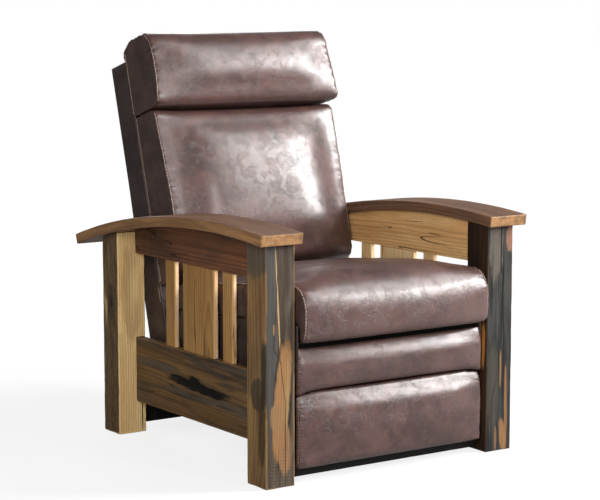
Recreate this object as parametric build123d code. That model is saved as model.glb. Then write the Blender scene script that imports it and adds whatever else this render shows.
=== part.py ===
from build123d import *
from math import asin, atan2, cos, degrees, hypot, radians, sin, sqrt
import os

# Mission reclining armchair: a bowed-arm frame of reclaimed boards round a leather recliner.
# Millimetres. +Y is the back of the chair, +Z is up, and +X is the right side for someone
# who stands in front of it. Left and right in names are that viewer's.
# The origin is on the floor, under the middle of the whole chair.

# Posts and bowed arms
post_side = 87.0
frame_width = 790.0
frame_depth = 825.0
arm_thickness = 29.0
arm_side_overhang = 27.0
arm_inner_overhang = 10.0
arm_front_overhang = 23.0
arm_rear_overhang = 107.0
arm_crest_height = 651.5
arm_crest_y = -176.0
arm_bow_radius = 2350.0
arm_edge_round = 3.0
post_edge_round = 2.5
dowel_radius = 6.0
dowel_length = 56.0
dowel_spread = 44.0

# Side rails and slats
rail_thickness = 24.0
rail_inner_setback = 8.0
lower_rail_drop = 10.0
lower_rail_height = 183.0
upper_rail_drop = 144.5
tenon_length = 28.0
tenon_thickness = 12.0
tenon_shoulder = 12.0
slat_thickness = 14.0
wide_slat_width = 157.0
narrow_slat_width = 49.0
slat_gap = 41.0
slat_tenon = 10.0

# Base boards between the posts
front_board_gap = 6.0
front_board_thickness = 22.0
front_board_bottom = 10.0
front_board_top = 80.0
rear_board_inset = 0.5
rear_board_thickness = 22.0
rear_board_bottom = 10.0
rear_board_top = 110.0
base_rail_thickness = 33.0
base_rail_bottom = 100.0
base_rail_height = 80.0

# Steel mechanism, in layers that count inwards from the base rail
steel = 3.0
layer_gap = 0.5
running_clearance = 0.05
pin_radius = 5.0
link_width = 20.0
plate_width = 34.0
base_plate_rear_overrun = 40.0
bolt_radius = 4.0
bolt_head_radius = 7.5
bolt_head_height = 3.0
bolt_spacing_share = 0.42
seat_screw_shares = (0.4, 0.65, 0.9)
back_bolt_shares = (0.3, 0.9)

# Swing links that carry the seat forward as the back reclines
swing_link_length = 100.0
swing_rest_lean = 25.0
front_swing_setback = 182.5
rear_swing_inset = 83.6
open_pivot_clearance = 0.3

# Footrest linkage; angles are above straight ahead
drive_pivot_setback = 82.5
drive_pivot_drop = 104.0
drive_link_length = 160.0
lift_link_length = 160.0
drive_closed_angle = -95.0
lift_closed_angle = 85.0
control_lug_along = 99.6
control_link_gap = 2.8
control_point_inset = 5.0
control_point_up = 60.0
control_pin_radius = 3.5
control_slot_half_width = 4.6
control_slot_travel = 2.6
control_slot_angle = 45.0
control_slot_offset = 2.05
drive_tube_radius = 9.0
drive_tube_wall = 2.0
drive_tube_along = 40.0
drive_tube_aside = 48.0

# Footrest board and its two pads
footrest_board_setback = 34.5
footrest_board_thickness = 12.0
footrest_board_low_inset = 17.0
footrest_board_high_inset = 10.0
footrest_board_side_inset = 11.0
pad_side_gap = 17.0
pad_edge_depth = 20.0
pad_crown = 14.0
pad_seat_gap = 15.0
pad_crease = 2.0
upper_pad_height = 112.0
lower_pad_height = 190.0
pad_corner = 19.0
pad_end_drop = 7.0
bracket_flange_depth = 26.0
bracket_reach_drop = 60.0
soft_gap = 0.3

# Seat frame, webbing and cushion
seat_tilt = 3.9
seat_frame_setback = 7.5
seat_frame_front_z = 400.0
seat_frame_length = 610.0
seat_rail_height = 45.0
seat_front_rail_height = 36.0
seat_rail_thickness = 22.0
strap_thickness = 2.0
seat_strap_width = 50.0
seat_strap_count = 5
seat_front_overhang = 28.5
seat_front_crown = 28.0
seat_front_skirt = 43.0
seat_nose_round = 34.0
seat_side_height = 112.0
seat_crown = 26.0
seat_top_slope = 0.1
seat_rear_reach = 12.4
seat_rear_drop = 44.0
seat_rear_shoulder = 62.0
seat_bottom_round = 26.0
seat_rear_round = 14.0
skirt_thickness = 5.7

# Back: a leather-covered frame that leans, measured up from its rear bottom corner
back_lean = 15.9
back_foot_reach = 134.4
back_foot_drop = 85.5
back_pivot_gap = 4.4
back_pivot_drop = 28.5
back_side_clearance = 6.0
back_frame_height = 758.0
back_frame_depth = 100.0
back_cover_thickness = 6.0
back_cover_round = 12.0
back_rail_height = 70.0
back_rail_depth = 22.0
back_strap_width = 60.0
back_strap_count = 4
back_cushion_tuck = 90.2
back_cushion_bottom_rise = 34.0
back_cushion_low_thickness = 131.0
back_cushion_high_thickness = 112.0
back_cushion_crown = 34.0
back_cushion_round = 26.0
pillow_overlap = 158.0
pillow_rise = 57.0
pillow_crease = 4.0
pillow_thickness = 154.0
pillow_crown = 12.0
pillow_round = 24.0
pillow_lip_reach = 8.0
pillow_drop = 4.0
pillow_side_reach = 5.0
back_bracket_length = 190.0
screw_radius = 2.5
screw_head_radius = 5.0
screw_head_height = 2.0

# One overrun for every cut that passes right through
overrun = 5.0

# Sizes that follow from the ones above
post_outer_x = frame_width / 2
post_inner_x = post_outer_x - post_side
post_front_y = -frame_depth / 2
post_rear_y = frame_depth / 2
bay_front_y = post_front_y + post_side
bay_rear_y = post_rear_y - post_side
arm_outer_x = post_outer_x + arm_side_overhang
arm_inner_x = post_inner_x - arm_inner_overhang
bow_centre_z = arm_crest_height - arm_bow_radius
bow_under_radius = arm_bow_radius - arm_thickness
rail_inner_x = post_inner_x + rail_inner_setback
rail_outer_x = rail_inner_x + rail_thickness
rail_middle_x = (rail_outer_x + rail_inner_x) / 2
base_rail_top = base_rail_bottom + base_rail_height
lower_rail_bottom = base_rail_bottom - lower_rail_drop
lower_rail_top = lower_rail_bottom + lower_rail_height
upper_rail_bottom = arm_crest_height - upper_rail_drop
footrest_board_back_y = post_front_y + footrest_board_setback
front_board_y = footrest_board_back_y + front_board_gap
rear_board_y = post_rear_y - rear_board_inset
base_rail_inner_x = post_inner_x - base_rail_thickness

base_plate_x = base_rail_inner_x - steel
swing_link_x = base_plate_x - layer_gap - steel
seat_plate_x = swing_link_x - layer_gap - steel
drive_link_x = seat_plate_x - layer_gap - steel
lift_link_x = drive_link_x - layer_gap - steel
foot_bracket_x = lift_link_x - layer_gap - steel

swing_pivot_z = (base_rail_bottom + base_rail_top) / 2
front_swing_y = post_front_y + front_swing_setback
drive_pivot_y = post_front_y + drive_pivot_setback
drive_pivot_z = seat_frame_front_z - drive_pivot_drop
control_lug_aside = link_width + control_link_gap
control_point_back = link_width - control_point_inset

seat_side_x = seat_plate_x + steel
seat_half_width = seat_side_x + seat_rail_thickness + soft_gap + skirt_thickness
seat_frame_front_y = post_front_y + seat_frame_setback
seat_frame_rear_y = seat_frame_front_y + seat_frame_length * cos(radians(seat_tilt))
seat_frame_rear_z = seat_frame_front_z - seat_frame_length * sin(radians(seat_tilt))
rear_swing_y = seat_frame_rear_y - rear_swing_inset
seat_front_y = post_front_y - seat_front_overhang
seat_front_bottom = seat_frame_front_z - seat_front_skirt
seat_side_top_z = seat_frame_front_z + seat_side_height
seat_rear_y = seat_frame_rear_y + seat_rear_reach
seat_rear_top_z = seat_side_top_z + seat_crown - (seat_rear_y - seat_front_y) * seat_top_slope

upper_pad_top = seat_front_bottom - pad_seat_gap
upper_pad_bottom = upper_pad_top - upper_pad_height
lower_pad_top = upper_pad_bottom - pad_crease
lower_pad_bottom = lower_pad_top - lower_pad_height
pad_half_width = post_inner_x - pad_side_gap
footrest_board_bottom = lower_pad_bottom + footrest_board_low_inset
footrest_board_top = upper_pad_top - footrest_board_high_inset
footrest_board_half_width = pad_half_width - footrest_board_side_inset

back_foot_y = seat_frame_rear_y + back_foot_reach
back_foot_z = seat_frame_rear_z - back_foot_drop
back_pivot_y = seat_frame_rear_y + plate_width / 2 + back_pivot_gap
back_pivot_z = seat_frame_rear_z - back_pivot_drop
back_half_width = arm_inner_x - back_side_clearance
pillow_half_width = back_half_width + pillow_side_reach
pillow_bottom = back_frame_height - pillow_overlap
pillow_top = back_frame_height + pillow_rise
back_cushion_top = pillow_bottom - pillow_crease
back_cushion_bottom = (seat_rear_top_z - back_foot_z) / cos(radians(back_lean)) - back_cushion_tuck

back_reach = back_foot_y + back_frame_height * sin(radians(back_lean))
front_reach = seat_front_y - seat_front_crown
floor_centre_y = (front_reach + back_reach) / 2


# Shape helpers
def span_box(x0, x1, y0, y1, z0, z1):
    middle = Pos((x0 + x1) / 2, (y0 + y1) / 2, (z0 + z1) / 2)
    return middle * Box(x1 - x0, y1 - y0, z1 - z0)


def mirrored(shape):
    return mirror(shape, about=Plane.YZ)


def pair(shape):
    return Compound([*shape.solids(), *mirrored(shape).solids()])


def group(shapes):
    return Compound([solid for shape in shapes for solid in shape.solids()])


def from_side(sketch, x0, x1):
    """A side-view outline (y, z), as thick as x0 to x1."""
    return extrude(Plane.YZ.offset(x0) * sketch, amount=x1 - x0)


def rod(y, z, radius, x0, x1):
    return from_side(Pos(y, z) * Circle(radius), x0, x1)


def bar(start, end, width):
    """A straight strip with round ends, between two points of the side view."""
    length = hypot(end[0] - start[0], end[1] - start[1])
    turn = degrees(atan2(end[1] - start[1], end[0] - start[0]))
    middle = ((start[0] + end[0]) / 2, (start[1] + end[1]) / 2)
    return Pos(*middle) * Rot(0, 0, turn) * SlotCenterToCenter(length, width)


def plate(runs, width, x0, holes):
    """A steel plate made of strips along each run, with round holes (place, radius)."""
    outline = Sketch()
    for run in runs:
        for start, end in zip(run, run[1:]):
            outline += bar(start, end, width)
    for place, radius in holes:
        outline -= Pos(*place) * Circle(radius)
    return from_side(outline, x0, x0 + steel)


def ahead(place, angle, distance):
    """The point at a distance from place, at an angle above straight ahead."""
    return (place[0] - distance * cos(radians(angle)), place[1] + distance * sin(radians(angle)))


def rounded_outline(points, rounds):
    return make_face(FilletPolyline(*points, radius=rounds, close=True))


def lofted_across(sections):
    """A soft form through side-view outlines, each at its own x."""
    faces = [Plane.YZ.offset(x) * outline for x, outline in sections]
    return loft(faces)


# Wooden frame
def bow_z(y, radius):
    return bow_centre_z + sqrt(radius**2 - (y - arm_crest_y) ** 2)


def under_arm(shape, x0, x1):
    """Cuts the shape's top to the underside of the bowed arm."""
    return shape & rod(arm_crest_y, bow_centre_z, bow_under_radius, x0, x1)


def post_ys(front):
    return (post_front_y, bay_front_y) if front else (bay_rear_y, post_rear_y)


def dowel_places():
    for front in (True, False):
        middle = sum(post_ys(front)) / 2
        for side in (-1, 1):
            yield middle + side * dowel_spread / 2


def dowel(y, radius, length):
    """A dowel square to the bow, half in the post and half in the arm."""
    lean = degrees(asin((y - arm_crest_y) / bow_under_radius))
    middle_z = bow_z(y, bow_under_radius) - dowel_length / 2 + arm_thickness / 2
    place = Pos((post_outer_x + post_inner_x) / 2, y, middle_z)
    return place * Rot(-lean, 0, 0) * Cylinder(radius, length)


def rail_tenon(y, outward, bottom, top):
    """The tenon of a side rail, from a post's face at y into the post."""
    deep = y + outward * tenon_length
    half = tenon_thickness / 2
    return span_box(
        rail_middle_x - half, rail_middle_x + half, min(y, deep), max(y, deep), bottom, top
    )


def rail_tenons():
    """Both side rails' tenons, two in each post, which also cut the mortises."""
    for y, outward in ((bay_front_y, -1), (bay_rear_y, 1)):
        upper_top = bow_z(y, bow_under_radius) - tenon_shoulder * 3 / 2
        yield "lower", rail_tenon(
            y, outward, lower_rail_bottom + tenon_shoulder, lower_rail_top - tenon_shoulder
        )
        yield "upper", rail_tenon(y, outward, upper_rail_bottom + tenon_shoulder, upper_top)


def post(front):
    y0, y1 = post_ys(front)
    body = under_arm(
        span_box(post_inner_x, post_outer_x, y0, y1, 0, arm_crest_height), post_inner_x, post_outer_x
    )
    body = fillet(body.edges().filter_by(Axis.Z), post_edge_round)
    for _, tenon in rail_tenons():
        body -= tenon
    for y in dowel_places():
        body -= dowel(y, dowel_radius, dowel_length)
    return body


def arm_board():
    """A bowed board whose ends are cut square to the bow."""
    front_turn = degrees(asin((post_front_y - arm_front_overhang - arm_crest_y) / arm_bow_radius))
    rear_turn = degrees(asin((post_rear_y + arm_rear_overhang - arm_crest_y) / arm_bow_radius))
    middle = (arm_crest_y, bow_centre_z)
    top = CenterArc(middle, arm_bow_radius, 90 - rear_turn, rear_turn - front_turn)
    under = CenterArc(middle, bow_under_radius, 90 - rear_turn, rear_turn - front_turn)
    ends = [Line(top @ 0, under @ 0), Line(top @ 1, under @ 1)]
    board = from_side(make_face([top, under, *ends]), arm_inner_x, arm_outer_x)
    board = fillet(board.edges(), arm_edge_round)
    for y in dowel_places():
        board -= dowel(y, dowel_radius, dowel_length)
    return board


def slat_places():
    """Each slat's middle and width: a narrow one on either side of a wide one."""
    reach = wide_slat_width / 2 + slat_gap + narrow_slat_width / 2
    return ((-reach, narrow_slat_width), (0, wide_slat_width), (reach, narrow_slat_width))


def slat(y, width):
    half = slat_thickness / 2
    return span_box(
        rail_middle_x - half,
        rail_middle_x + half,
        y - width / 2,
        y + width / 2,
        lower_rail_top - slat_tenon,
        upper_rail_bottom + slat_tenon,
    )


def side_rail(which, bottom, top):
    body = span_box(rail_inner_x, rail_outer_x, bay_front_y, bay_rear_y, bottom, top)
    if which == "upper":
        body = under_arm(body, rail_inner_x, rail_outer_x)
    for name, tenon in rail_tenons():
        if name == which:
            body += tenon
    for y, width in slat_places():
        body -= slat(y, width)
    return body


def base_board(y0, y1, bottom, top):
    return span_box(-post_inner_x, post_inner_x, y0, y1, bottom, top)


# Steel mechanism: places of its pivots in the side view
drive_pivot = (drive_pivot_y, drive_pivot_z)
lift_pivot = ahead(drive_pivot, drive_closed_angle, drive_link_length)
bracket_pivot = ahead(lift_pivot, lift_closed_angle, lift_link_length)
back_pivot = (back_pivot_y, back_pivot_z)


def on_drive_link(along, aside):
    """A point of the closed drive link; aside is towards the back of the chair."""
    return ahead(ahead(drive_pivot, drive_closed_angle, along), drive_closed_angle - 90, aside)


control_pivot = on_drive_link(control_lug_along, control_lug_aside)
control_pin = (bracket_pivot[0] + control_point_back, bracket_pivot[1] + control_point_up)
drive_tube_place = on_drive_link(drive_tube_along, drive_tube_aside)
swing_lower = [(front_swing_y, swing_pivot_z), (rear_swing_y, swing_pivot_z)]
swing_upper = [ahead(place, 90 + swing_rest_lean, swing_link_length) for place in swing_lower]


def hole(radius):
    return radius + running_clearance


def bolt_ys():
    span = rear_swing_y - front_swing_y
    middle = (rear_swing_y + front_swing_y) / 2
    return [middle - span * bolt_spacing_share, middle, middle + span * bolt_spacing_share]


def bolt(place, radius, head_radius, head_height, face_x, length):
    """A bolt that goes outwards from face_x, with its head on the inner side."""
    shank = rod(*place, radius, face_x, face_x + length)
    head = rod(*place, head_radius, face_x - head_height, face_x)
    return shank + head


def base_plate():
    front, rear = swing_lower
    holes = [(front, pin_radius), (rear, pin_radius)]
    holes += [((y, swing_pivot_z), bolt_radius) for y in bolt_ys()]
    end = (rear[0] + base_plate_rear_overrun, rear[1])
    start = (front[0] - base_plate_rear_overrun, front[1])
    return plate([[start, end]], plate_width, base_plate_x, holes)


def base_bolt(y):
    length = steel + base_rail_thickness * 2 / 3
    return bolt(
        (y, swing_pivot_z), bolt_radius, bolt_head_radius, bolt_head_height, base_plate_x, length
    )


def base_rail():
    body = span_box(
        base_rail_inner_x,
        post_inner_x,
        front_board_y + front_board_thickness,
        rear_board_y - rear_board_thickness,
        base_rail_bottom,
        base_rail_top,
    )
    return drilled(body, [base_bolt(y) for y in bolt_ys()])


def swing_link(lower, upper):
    holes = [(lower, hole(pin_radius)), (upper, pin_radius)]
    return plate([[lower, upper]], link_width, swing_link_x, holes)


def swing_lower_pin(place):
    return rod(*place, pin_radius, swing_link_x, base_plate_x + steel)


def swing_upper_pin(place):
    return rod(*place, pin_radius, seat_plate_x, swing_link_x + steel)


def seat_rail_point(along, down):
    """A side-view point of the side rail, measured from its top front corner."""
    turn = radians(seat_tilt)
    return (
        seat_frame_front_y + along * cos(turn) - down * sin(turn),
        seat_frame_front_z - along * sin(turn) - down * cos(turn),
    )


def seat_screw_places():
    """Screws of the seat plate, on the middle line of the side rail."""
    return [seat_rail_point(seat_frame_length * share, seat_rail_height / 2) for share in seat_screw_shares]


def seat_plate():
    """Runs along the side rail, between the front and rear pivots and over both swing links."""
    front_upper, rear_upper = swing_upper
    front_corner, rear_corner = [
        seat_rail_point((upper[0] - seat_frame_front_y) / cos(radians(seat_tilt)), seat_rail_height / 2)
        for upper in swing_upper
    ]
    spine = [drive_pivot, front_corner, rear_corner, back_pivot]
    holes = [
        (drive_pivot, pin_radius),
        (back_pivot, pin_radius),
        (front_upper, hole(pin_radius)),
        (rear_upper, pin_radius + open_pivot_clearance),
    ]
    holes += [(place, screw_radius) for place in seat_screw_places()]
    runs = [spine, [front_corner, front_upper], [rear_corner, rear_upper]]
    return plate(runs, plate_width, seat_plate_x, holes)


def drive_link():
    holes = [
        (drive_pivot, hole(pin_radius)),
        (lift_pivot, pin_radius),
        (control_pivot, control_pin_radius),
    ]
    lug_root = on_drive_link(control_lug_along, 0)
    tube_root = on_drive_link(drive_tube_along, 0)
    runs = [[drive_pivot, lift_pivot], [lug_root, control_pivot], [tube_root, drive_tube_place]]
    return plate(runs, link_width, drive_link_x, holes)


def drive_tube():
    bore = drive_tube_radius - drive_tube_wall
    outer = rod(*drive_tube_place, drive_tube_radius, -drive_link_x, drive_link_x)
    return outer - rod(*drive_tube_place, bore, -drive_link_x, drive_link_x)


def lift_link():
    holes = [(lift_pivot, hole(pin_radius)), (bracket_pivot, pin_radius)]
    return plate([[lift_pivot, bracket_pivot]], link_width, lift_link_x, holes)


def control_link():
    holes = [(control_pivot, hole(control_pin_radius)), (control_pin, control_pin_radius)]
    return plate([[control_pivot, control_pin]], link_width, lift_link_x, holes)


def foot_bracket():
    """From the lift link forward to the footrest board, with a flange that is screwed to it."""
    elbow_y = footrest_board_back_y + link_width / 2 + steel
    elbow = (elbow_y, bracket_pivot[1] - link_width / 2)
    foot = (elbow_y, footrest_board_bottom + bracket_reach_drop)
    run = [control_pin, bracket_pivot, elbow, foot]
    body = plate([run], link_width, foot_bracket_x, [(bracket_pivot, hole(pin_radius))])
    slide = ahead(control_pin, -control_slot_angle, control_slot_offset)
    slot = SlotCenterToCenter(control_slot_travel, control_slot_half_width * 2)
    cutter = Pos(*slide) * Rot(0, 0, control_slot_angle) * slot
    body -= from_side(cutter, foot_bracket_x, foot_bracket_x + steel)
    flange = span_box(
        foot_bracket_x + steel - bracket_flange_depth,
        foot_bracket_x + steel,
        footrest_board_back_y,
        footrest_board_back_y + steel,
        foot[1],
        elbow[1],
    )
    return body + flange


def footrest_screw_places():
    x = foot_bracket_x + steel - bracket_flange_depth / 2
    low = footrest_board_bottom + bracket_reach_drop * 3 / 2
    return [(x, low), (x, low + bracket_reach_drop * 2)]


def footrest_screw(x, z):
    """A screw from behind, through the bracket's flange into the board."""
    back = footrest_board_back_y + steel
    tip = back - steel - footrest_board_thickness * 2 / 3
    shank = Pos(x, (back + tip) / 2, z) * Rot(90, 0, 0) * Cylinder(screw_radius, back - tip)
    head_place = Pos(x, back + screw_head_height / 2, z) * Rot(90, 0, 0)
    return shank + head_place * Cylinder(screw_head_radius, screw_head_height)


# Footrest
def footrest_board():
    return span_box(
        -footrest_board_half_width,
        footrest_board_half_width,
        footrest_board_back_y - footrest_board_thickness,
        footrest_board_back_y,
        footrest_board_bottom,
        footrest_board_top,
    )


crown_shares = ((-1, 0), (-0.86, 0.6), (-0.4, 1), (0.4, 1), (0.86, 0.6), (1, 0))


def footrest_pad(bottom, top):
    """A crowned pad on the front of the footrest board, lower at its ends."""
    back = footrest_board_back_y - footrest_board_thickness - soft_gap
    sections = []
    for across, swell in crown_shares:
        front = back - pad_edge_depth - pad_crown * swell
        low = bottom + pad_end_drop * (1 - swell)
        high = top - pad_end_drop * (1 - swell)
        points = [(back, low), (front, low), (front, high), (back, high)]
        nose = min(pad_corner, (back - front) * 2 / 3)
        rounds = [pad_end_drop / 2, nose, nose, pad_end_drop / 2]
        sections.append((across * pad_half_width, rounded_outline(points, rounds)))
    return lofted_across(sections)


# Seat
seat_front = Pos(0, seat_frame_front_y, seat_frame_front_z) * Rot(-seat_tilt, 0, 0)


def seat_side_rail():
    return seat_front * span_box(
        seat_side_x, seat_side_x + seat_rail_thickness, 0, seat_frame_length, -seat_rail_height, 0
    )


def seat_cross_rail(back):
    start = seat_frame_length - seat_rail_thickness if back else 0
    half = seat_plate_x if back else seat_side_x
    height = seat_rail_height if back else seat_front_rail_height
    return seat_front * span_box(-half, half, start, start + seat_rail_thickness, -height, 0)


def seat_screw(place):
    length = steel + seat_rail_thickness * 2 / 3
    return bolt(place, screw_radius, screw_head_radius, screw_head_height, seat_plate_x, length)


def seat_straps():
    """Elastic webbing from side rail to side rail."""
    half = seat_side_x + seat_rail_thickness / 2
    pitch = seat_frame_length / (seat_strap_count + 1)
    straps = []
    for index in range(seat_strap_count):
        start = pitch * (index + 1) - seat_strap_width / 2
        strap = span_box(-half, half, start, start + seat_strap_width, 0, strap_thickness)
        straps.append(seat_front * strap)
    return group(straps)


def seat_cushion():
    """A crowned seat whose leather wraps down over the seat frame."""
    sections = []
    for across, swell in crown_shares:
        front = seat_front_y - seat_front_crown * swell
        top = seat_side_top_z + seat_crown * swell
        rear_top = seat_rear_top_z - seat_crown * (1 - swell)
        points = [
            (front, seat_front_bottom),
            (front, top),
            (seat_rear_y - seat_rear_shoulder, rear_top),
            (seat_rear_y, rear_top - seat_rear_drop),
            (seat_rear_y, seat_front_bottom - (seat_rear_y - seat_front_y) * sin(radians(seat_tilt))),
        ]
        chin = seat_bottom_round + seat_front_crown * swell
        rounds = [chin, seat_nose_round, seat_nose_round, seat_rear_round, seat_rear_round]
        sections.append((across * seat_half_width, rounded_outline(points, rounds)))
    pocket_half = seat_half_width - skirt_thickness
    pocket = seat_front * span_box(
        -pocket_half,
        pocket_half,
        -soft_gap,
        seat_frame_length * 2,
        -seat_rail_height * 4,
        strap_thickness + soft_gap,
    )
    return lofted_across(sections) - pocket


# Back, modelled upright: y is 0 at its rear face and negative forward, z is 0 at its foot
leaning_back = Pos(0, back_foot_y, back_foot_z) * Rot(-back_lean, 0, 0)
back_bracket_x = drive_link_x
stile_inner_x = back_bracket_x + steel
stile_outer_x = back_half_width - back_cover_thickness


def back_local(place):
    """A side-view point of the chair, in the upright back's own (forward depth, height)."""
    y, z = place[0] - back_foot_y, place[1] - back_foot_z
    turn = radians(back_lean)
    return (-(y * cos(turn) - z * sin(turn)), y * sin(turn) + z * cos(turn))


def back_cover():
    """The leather shell over the rear, sides, top and bottom of the back frame."""
    outer = span_box(-back_half_width, back_half_width, -back_frame_depth, 0, 0, back_frame_height)
    outer = fillet(outer.edges().filter_by(Axis.Z).sort_by(Axis.Y)[-2:], back_cover_round)
    inner_half = back_half_width - back_cover_thickness
    inner = span_box(
        -inner_half,
        inner_half,
        -back_frame_depth - overrun,
        -back_cover_thickness,
        back_cover_thickness,
        back_frame_height - back_cover_thickness,
    )
    mouth = span_box(
        -stile_inner_x,
        stile_inner_x,
        -back_frame_depth - overrun,
        -back_frame_depth + back_rail_depth,
        -overrun,
        back_cover_thickness + overrun,
    )
    return leaning_back * (outer - inner - mouth)


def back_stile():
    return leaning_back * span_box(
        stile_inner_x,
        stile_outer_x,
        -back_frame_depth + strap_thickness,
        -back_cover_thickness,
        back_cover_thickness,
        back_frame_height - back_cover_thickness,
    )


def back_rail(bottom, half):
    front = -back_frame_depth + strap_thickness
    rail = span_box(-half, half, front, front + back_rail_depth, bottom, bottom + back_rail_height)
    return leaning_back * rail


def back_straps():
    half = (stile_inner_x + stile_outer_x) / 2
    front = -back_frame_depth
    pitch = (back_cushion_top - back_cushion_bottom) / back_strap_count
    straps = []
    for index in range(back_strap_count):
        low = back_cushion_bottom + pitch * (index + 1 / 2) - back_strap_width / 2
        strap = span_box(-half, half, front, front + strap_thickness, low, low + back_strap_width)
        straps.append(leaning_back * strap)
    return group(straps)


def back_cushion():
    """A crowned cushion on the front of the back frame."""
    rear = -back_frame_depth - soft_gap
    sections = []
    for across, swell in crown_shares:
        low_front = -back_frame_depth - back_cushion_low_thickness - back_cushion_crown * swell
        high_front = -back_frame_depth - back_cushion_high_thickness - back_cushion_crown * swell
        points = [
            (rear, back_cushion_bottom),
            (low_front, back_cushion_bottom + back_cushion_bottom_rise),
            (low_front, (back_cushion_bottom + back_cushion_top) / 2),
            (high_front, back_cushion_top),
            (rear, back_cushion_top),
        ]
        edge = back_cushion_round / 4
        rounds = [edge, back_cushion_round, back_cushion_round * 3, back_cushion_round, edge]
        sections.append((across * back_half_width, rounded_outline(points, rounds)))
    return leaning_back * lofted_across(sections)


def head_pillow():
    """A thicker pillow over the top of the frame, hooked down behind its front edge."""
    frame_top = back_frame_height + soft_gap
    face = -back_frame_depth - soft_gap
    lip = -back_frame_depth + pillow_lip_reach
    sections = []
    for across, swell in crown_shares:
        front = -back_frame_depth - pillow_thickness - pillow_crown * swell
        top = pillow_top - pillow_drop * (1 - swell)
        points = [
            (face, pillow_bottom),
            (front, pillow_bottom),
            (front, top),
            (lip, top),
            (lip, frame_top),
            (face, frame_top),
        ]
        rounds = [soft_gap * 2, pillow_round, pillow_round, pillow_round, soft_gap * 2, soft_gap * 2]
        sections.append((across * pillow_half_width, rounded_outline(points, rounds)))
    return leaning_back * lofted_across(sections)


def back_bracket():
    """Turns on the seat plate and runs up the inner face of the stile."""
    depth, height = back_local(back_pivot)
    stile_depth = back_frame_depth * 2 / 3
    foot = (-stile_depth, height + plate_width)
    head = (-stile_depth, height + plate_width + back_bracket_length)
    pivot = (-depth, height)
    outline = bar(pivot, foot, plate_width) + bar(foot, head, plate_width)
    outline -= Pos(*pivot) * Circle(hole(pin_radius))
    for place in back_screw_places():
        outline -= Pos(*place) * Circle(bolt_radius)
    return leaning_back * from_side(outline, back_bracket_x, back_bracket_x + steel)


def back_screw_places():
    depth, height = back_local(back_pivot)
    base = height + plate_width
    return [(-back_frame_depth * 2 / 3, base + back_bracket_length * share) for share in back_bolt_shares]


def back_screw(place):
    length = steel + (stile_outer_x - stile_inner_x) * 2 / 3
    return leaning_back * bolt(
        place, bolt_radius, bolt_head_radius, screw_head_height, back_bracket_x, length
    )


def drilled(body, fasteners):
    for fastener in fasteners:
        body -= fastener
    return body


# All the pieces; a right-hand piece is drawn once and mirrored to the left
nodes = {}


def add_pair(name, shape):
    nodes[name + "_right"] = shape
    nodes[name + "_left"] = mirrored(shape)


def build_frame():
    add_pair("front_post", post(True))
    add_pair("rear_post", post(False))
    add_pair("arm_board", arm_board())
    nodes["arm_dowels"] = pair(group([dowel(y, dowel_radius, dowel_length) for y in dowel_places()]))
    add_pair("upper_side_rail", side_rail("upper", upper_rail_bottom, arm_crest_height))
    add_pair("lower_side_rail", side_rail("lower", lower_rail_bottom, lower_rail_top))
    first, middle, last = [slat(y, width) for y, width in slat_places()]
    add_pair("wide_slat", middle)
    add_pair("narrow_slats", group([first, last]))
    nodes["front_base_board"] = base_board(
        front_board_y, front_board_y + front_board_thickness, front_board_bottom, front_board_top
    )
    nodes["rear_base_board"] = base_board(
        rear_board_y - rear_board_thickness, rear_board_y, rear_board_bottom, rear_board_top
    )
    add_pair("base_rail", base_rail())


def build_mechanism():
    nodes["base_plates"] = pair(base_plate())
    nodes["base_bolts"] = pair(group([base_bolt(y) for y in bolt_ys()]))
    nodes["swing_lower_pins"] = pair(group([swing_lower_pin(place) for place in swing_lower]))
    for name, lower, upper in zip(("front", "rear"), swing_lower, swing_upper):
        nodes[name + "_swing_links"] = pair(swing_link(lower, upper))
        nodes[name + "_swing_pins"] = pair(swing_upper_pin(upper))
    add_pair("seat_plate", seat_plate())
    seat_screws = [seat_screw(place) for place in seat_screw_places()]
    nodes["seat_plate_screws"] = pair(group(seat_screws))
    drive_pin, back_pin = [
        rod(*place, pin_radius, drive_link_x, seat_plate_x + steel) for place in (drive_pivot, back_pivot)
    ]
    nodes["seat_pivot_pins"] = pair(group([drive_pin, back_pin]))
    nodes["drive_links"] = pair(drive_link())
    nodes["drive_tube"] = drive_tube()
    lift_pin = rod(*lift_pivot, pin_radius, lift_link_x, drive_link_x + steel)
    control_lug_pin = rod(*control_pivot, control_pin_radius, lift_link_x, drive_link_x + steel)
    nodes["lift_pivot_pins"] = pair(group([lift_pin, control_lug_pin]))
    nodes["lift_links"] = pair(lift_link())
    foot_pin = rod(*bracket_pivot, pin_radius, foot_bracket_x, lift_link_x + steel)
    nodes["bracket_pivot_pins"] = pair(foot_pin)
    nodes["control_links"] = pair(control_link())
    slot_pin = rod(*control_pin, control_pin_radius, foot_bracket_x, lift_link_x + steel)
    nodes["control_pins"] = pair(slot_pin)


def build_footrest():
    screws = [footrest_screw(x, z) for x, z in footrest_screw_places()]
    both = [*screws, *[mirrored(screw) for screw in screws]]
    nodes["footrest_screws"] = group(both)
    nodes["footrest_board"] = drilled(footrest_board(), both)
    nodes["footrest_brackets"] = pair(drilled(foot_bracket(), screws))
    nodes["lower_footrest_pad"] = footrest_pad(lower_pad_bottom, lower_pad_top)
    nodes["upper_footrest_pad"] = footrest_pad(upper_pad_bottom, upper_pad_top)


def build_seat():
    screws = [seat_screw(place) for place in seat_screw_places()]
    add_pair("seat_side_rail", drilled(seat_side_rail(), screws))
    nodes["seat_front_rail"] = seat_cross_rail(False)
    nodes["seat_rear_rail"] = seat_cross_rail(True)
    nodes["seat_webbing"] = seat_straps()
    nodes["seat_cushion"] = seat_cushion()


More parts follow.
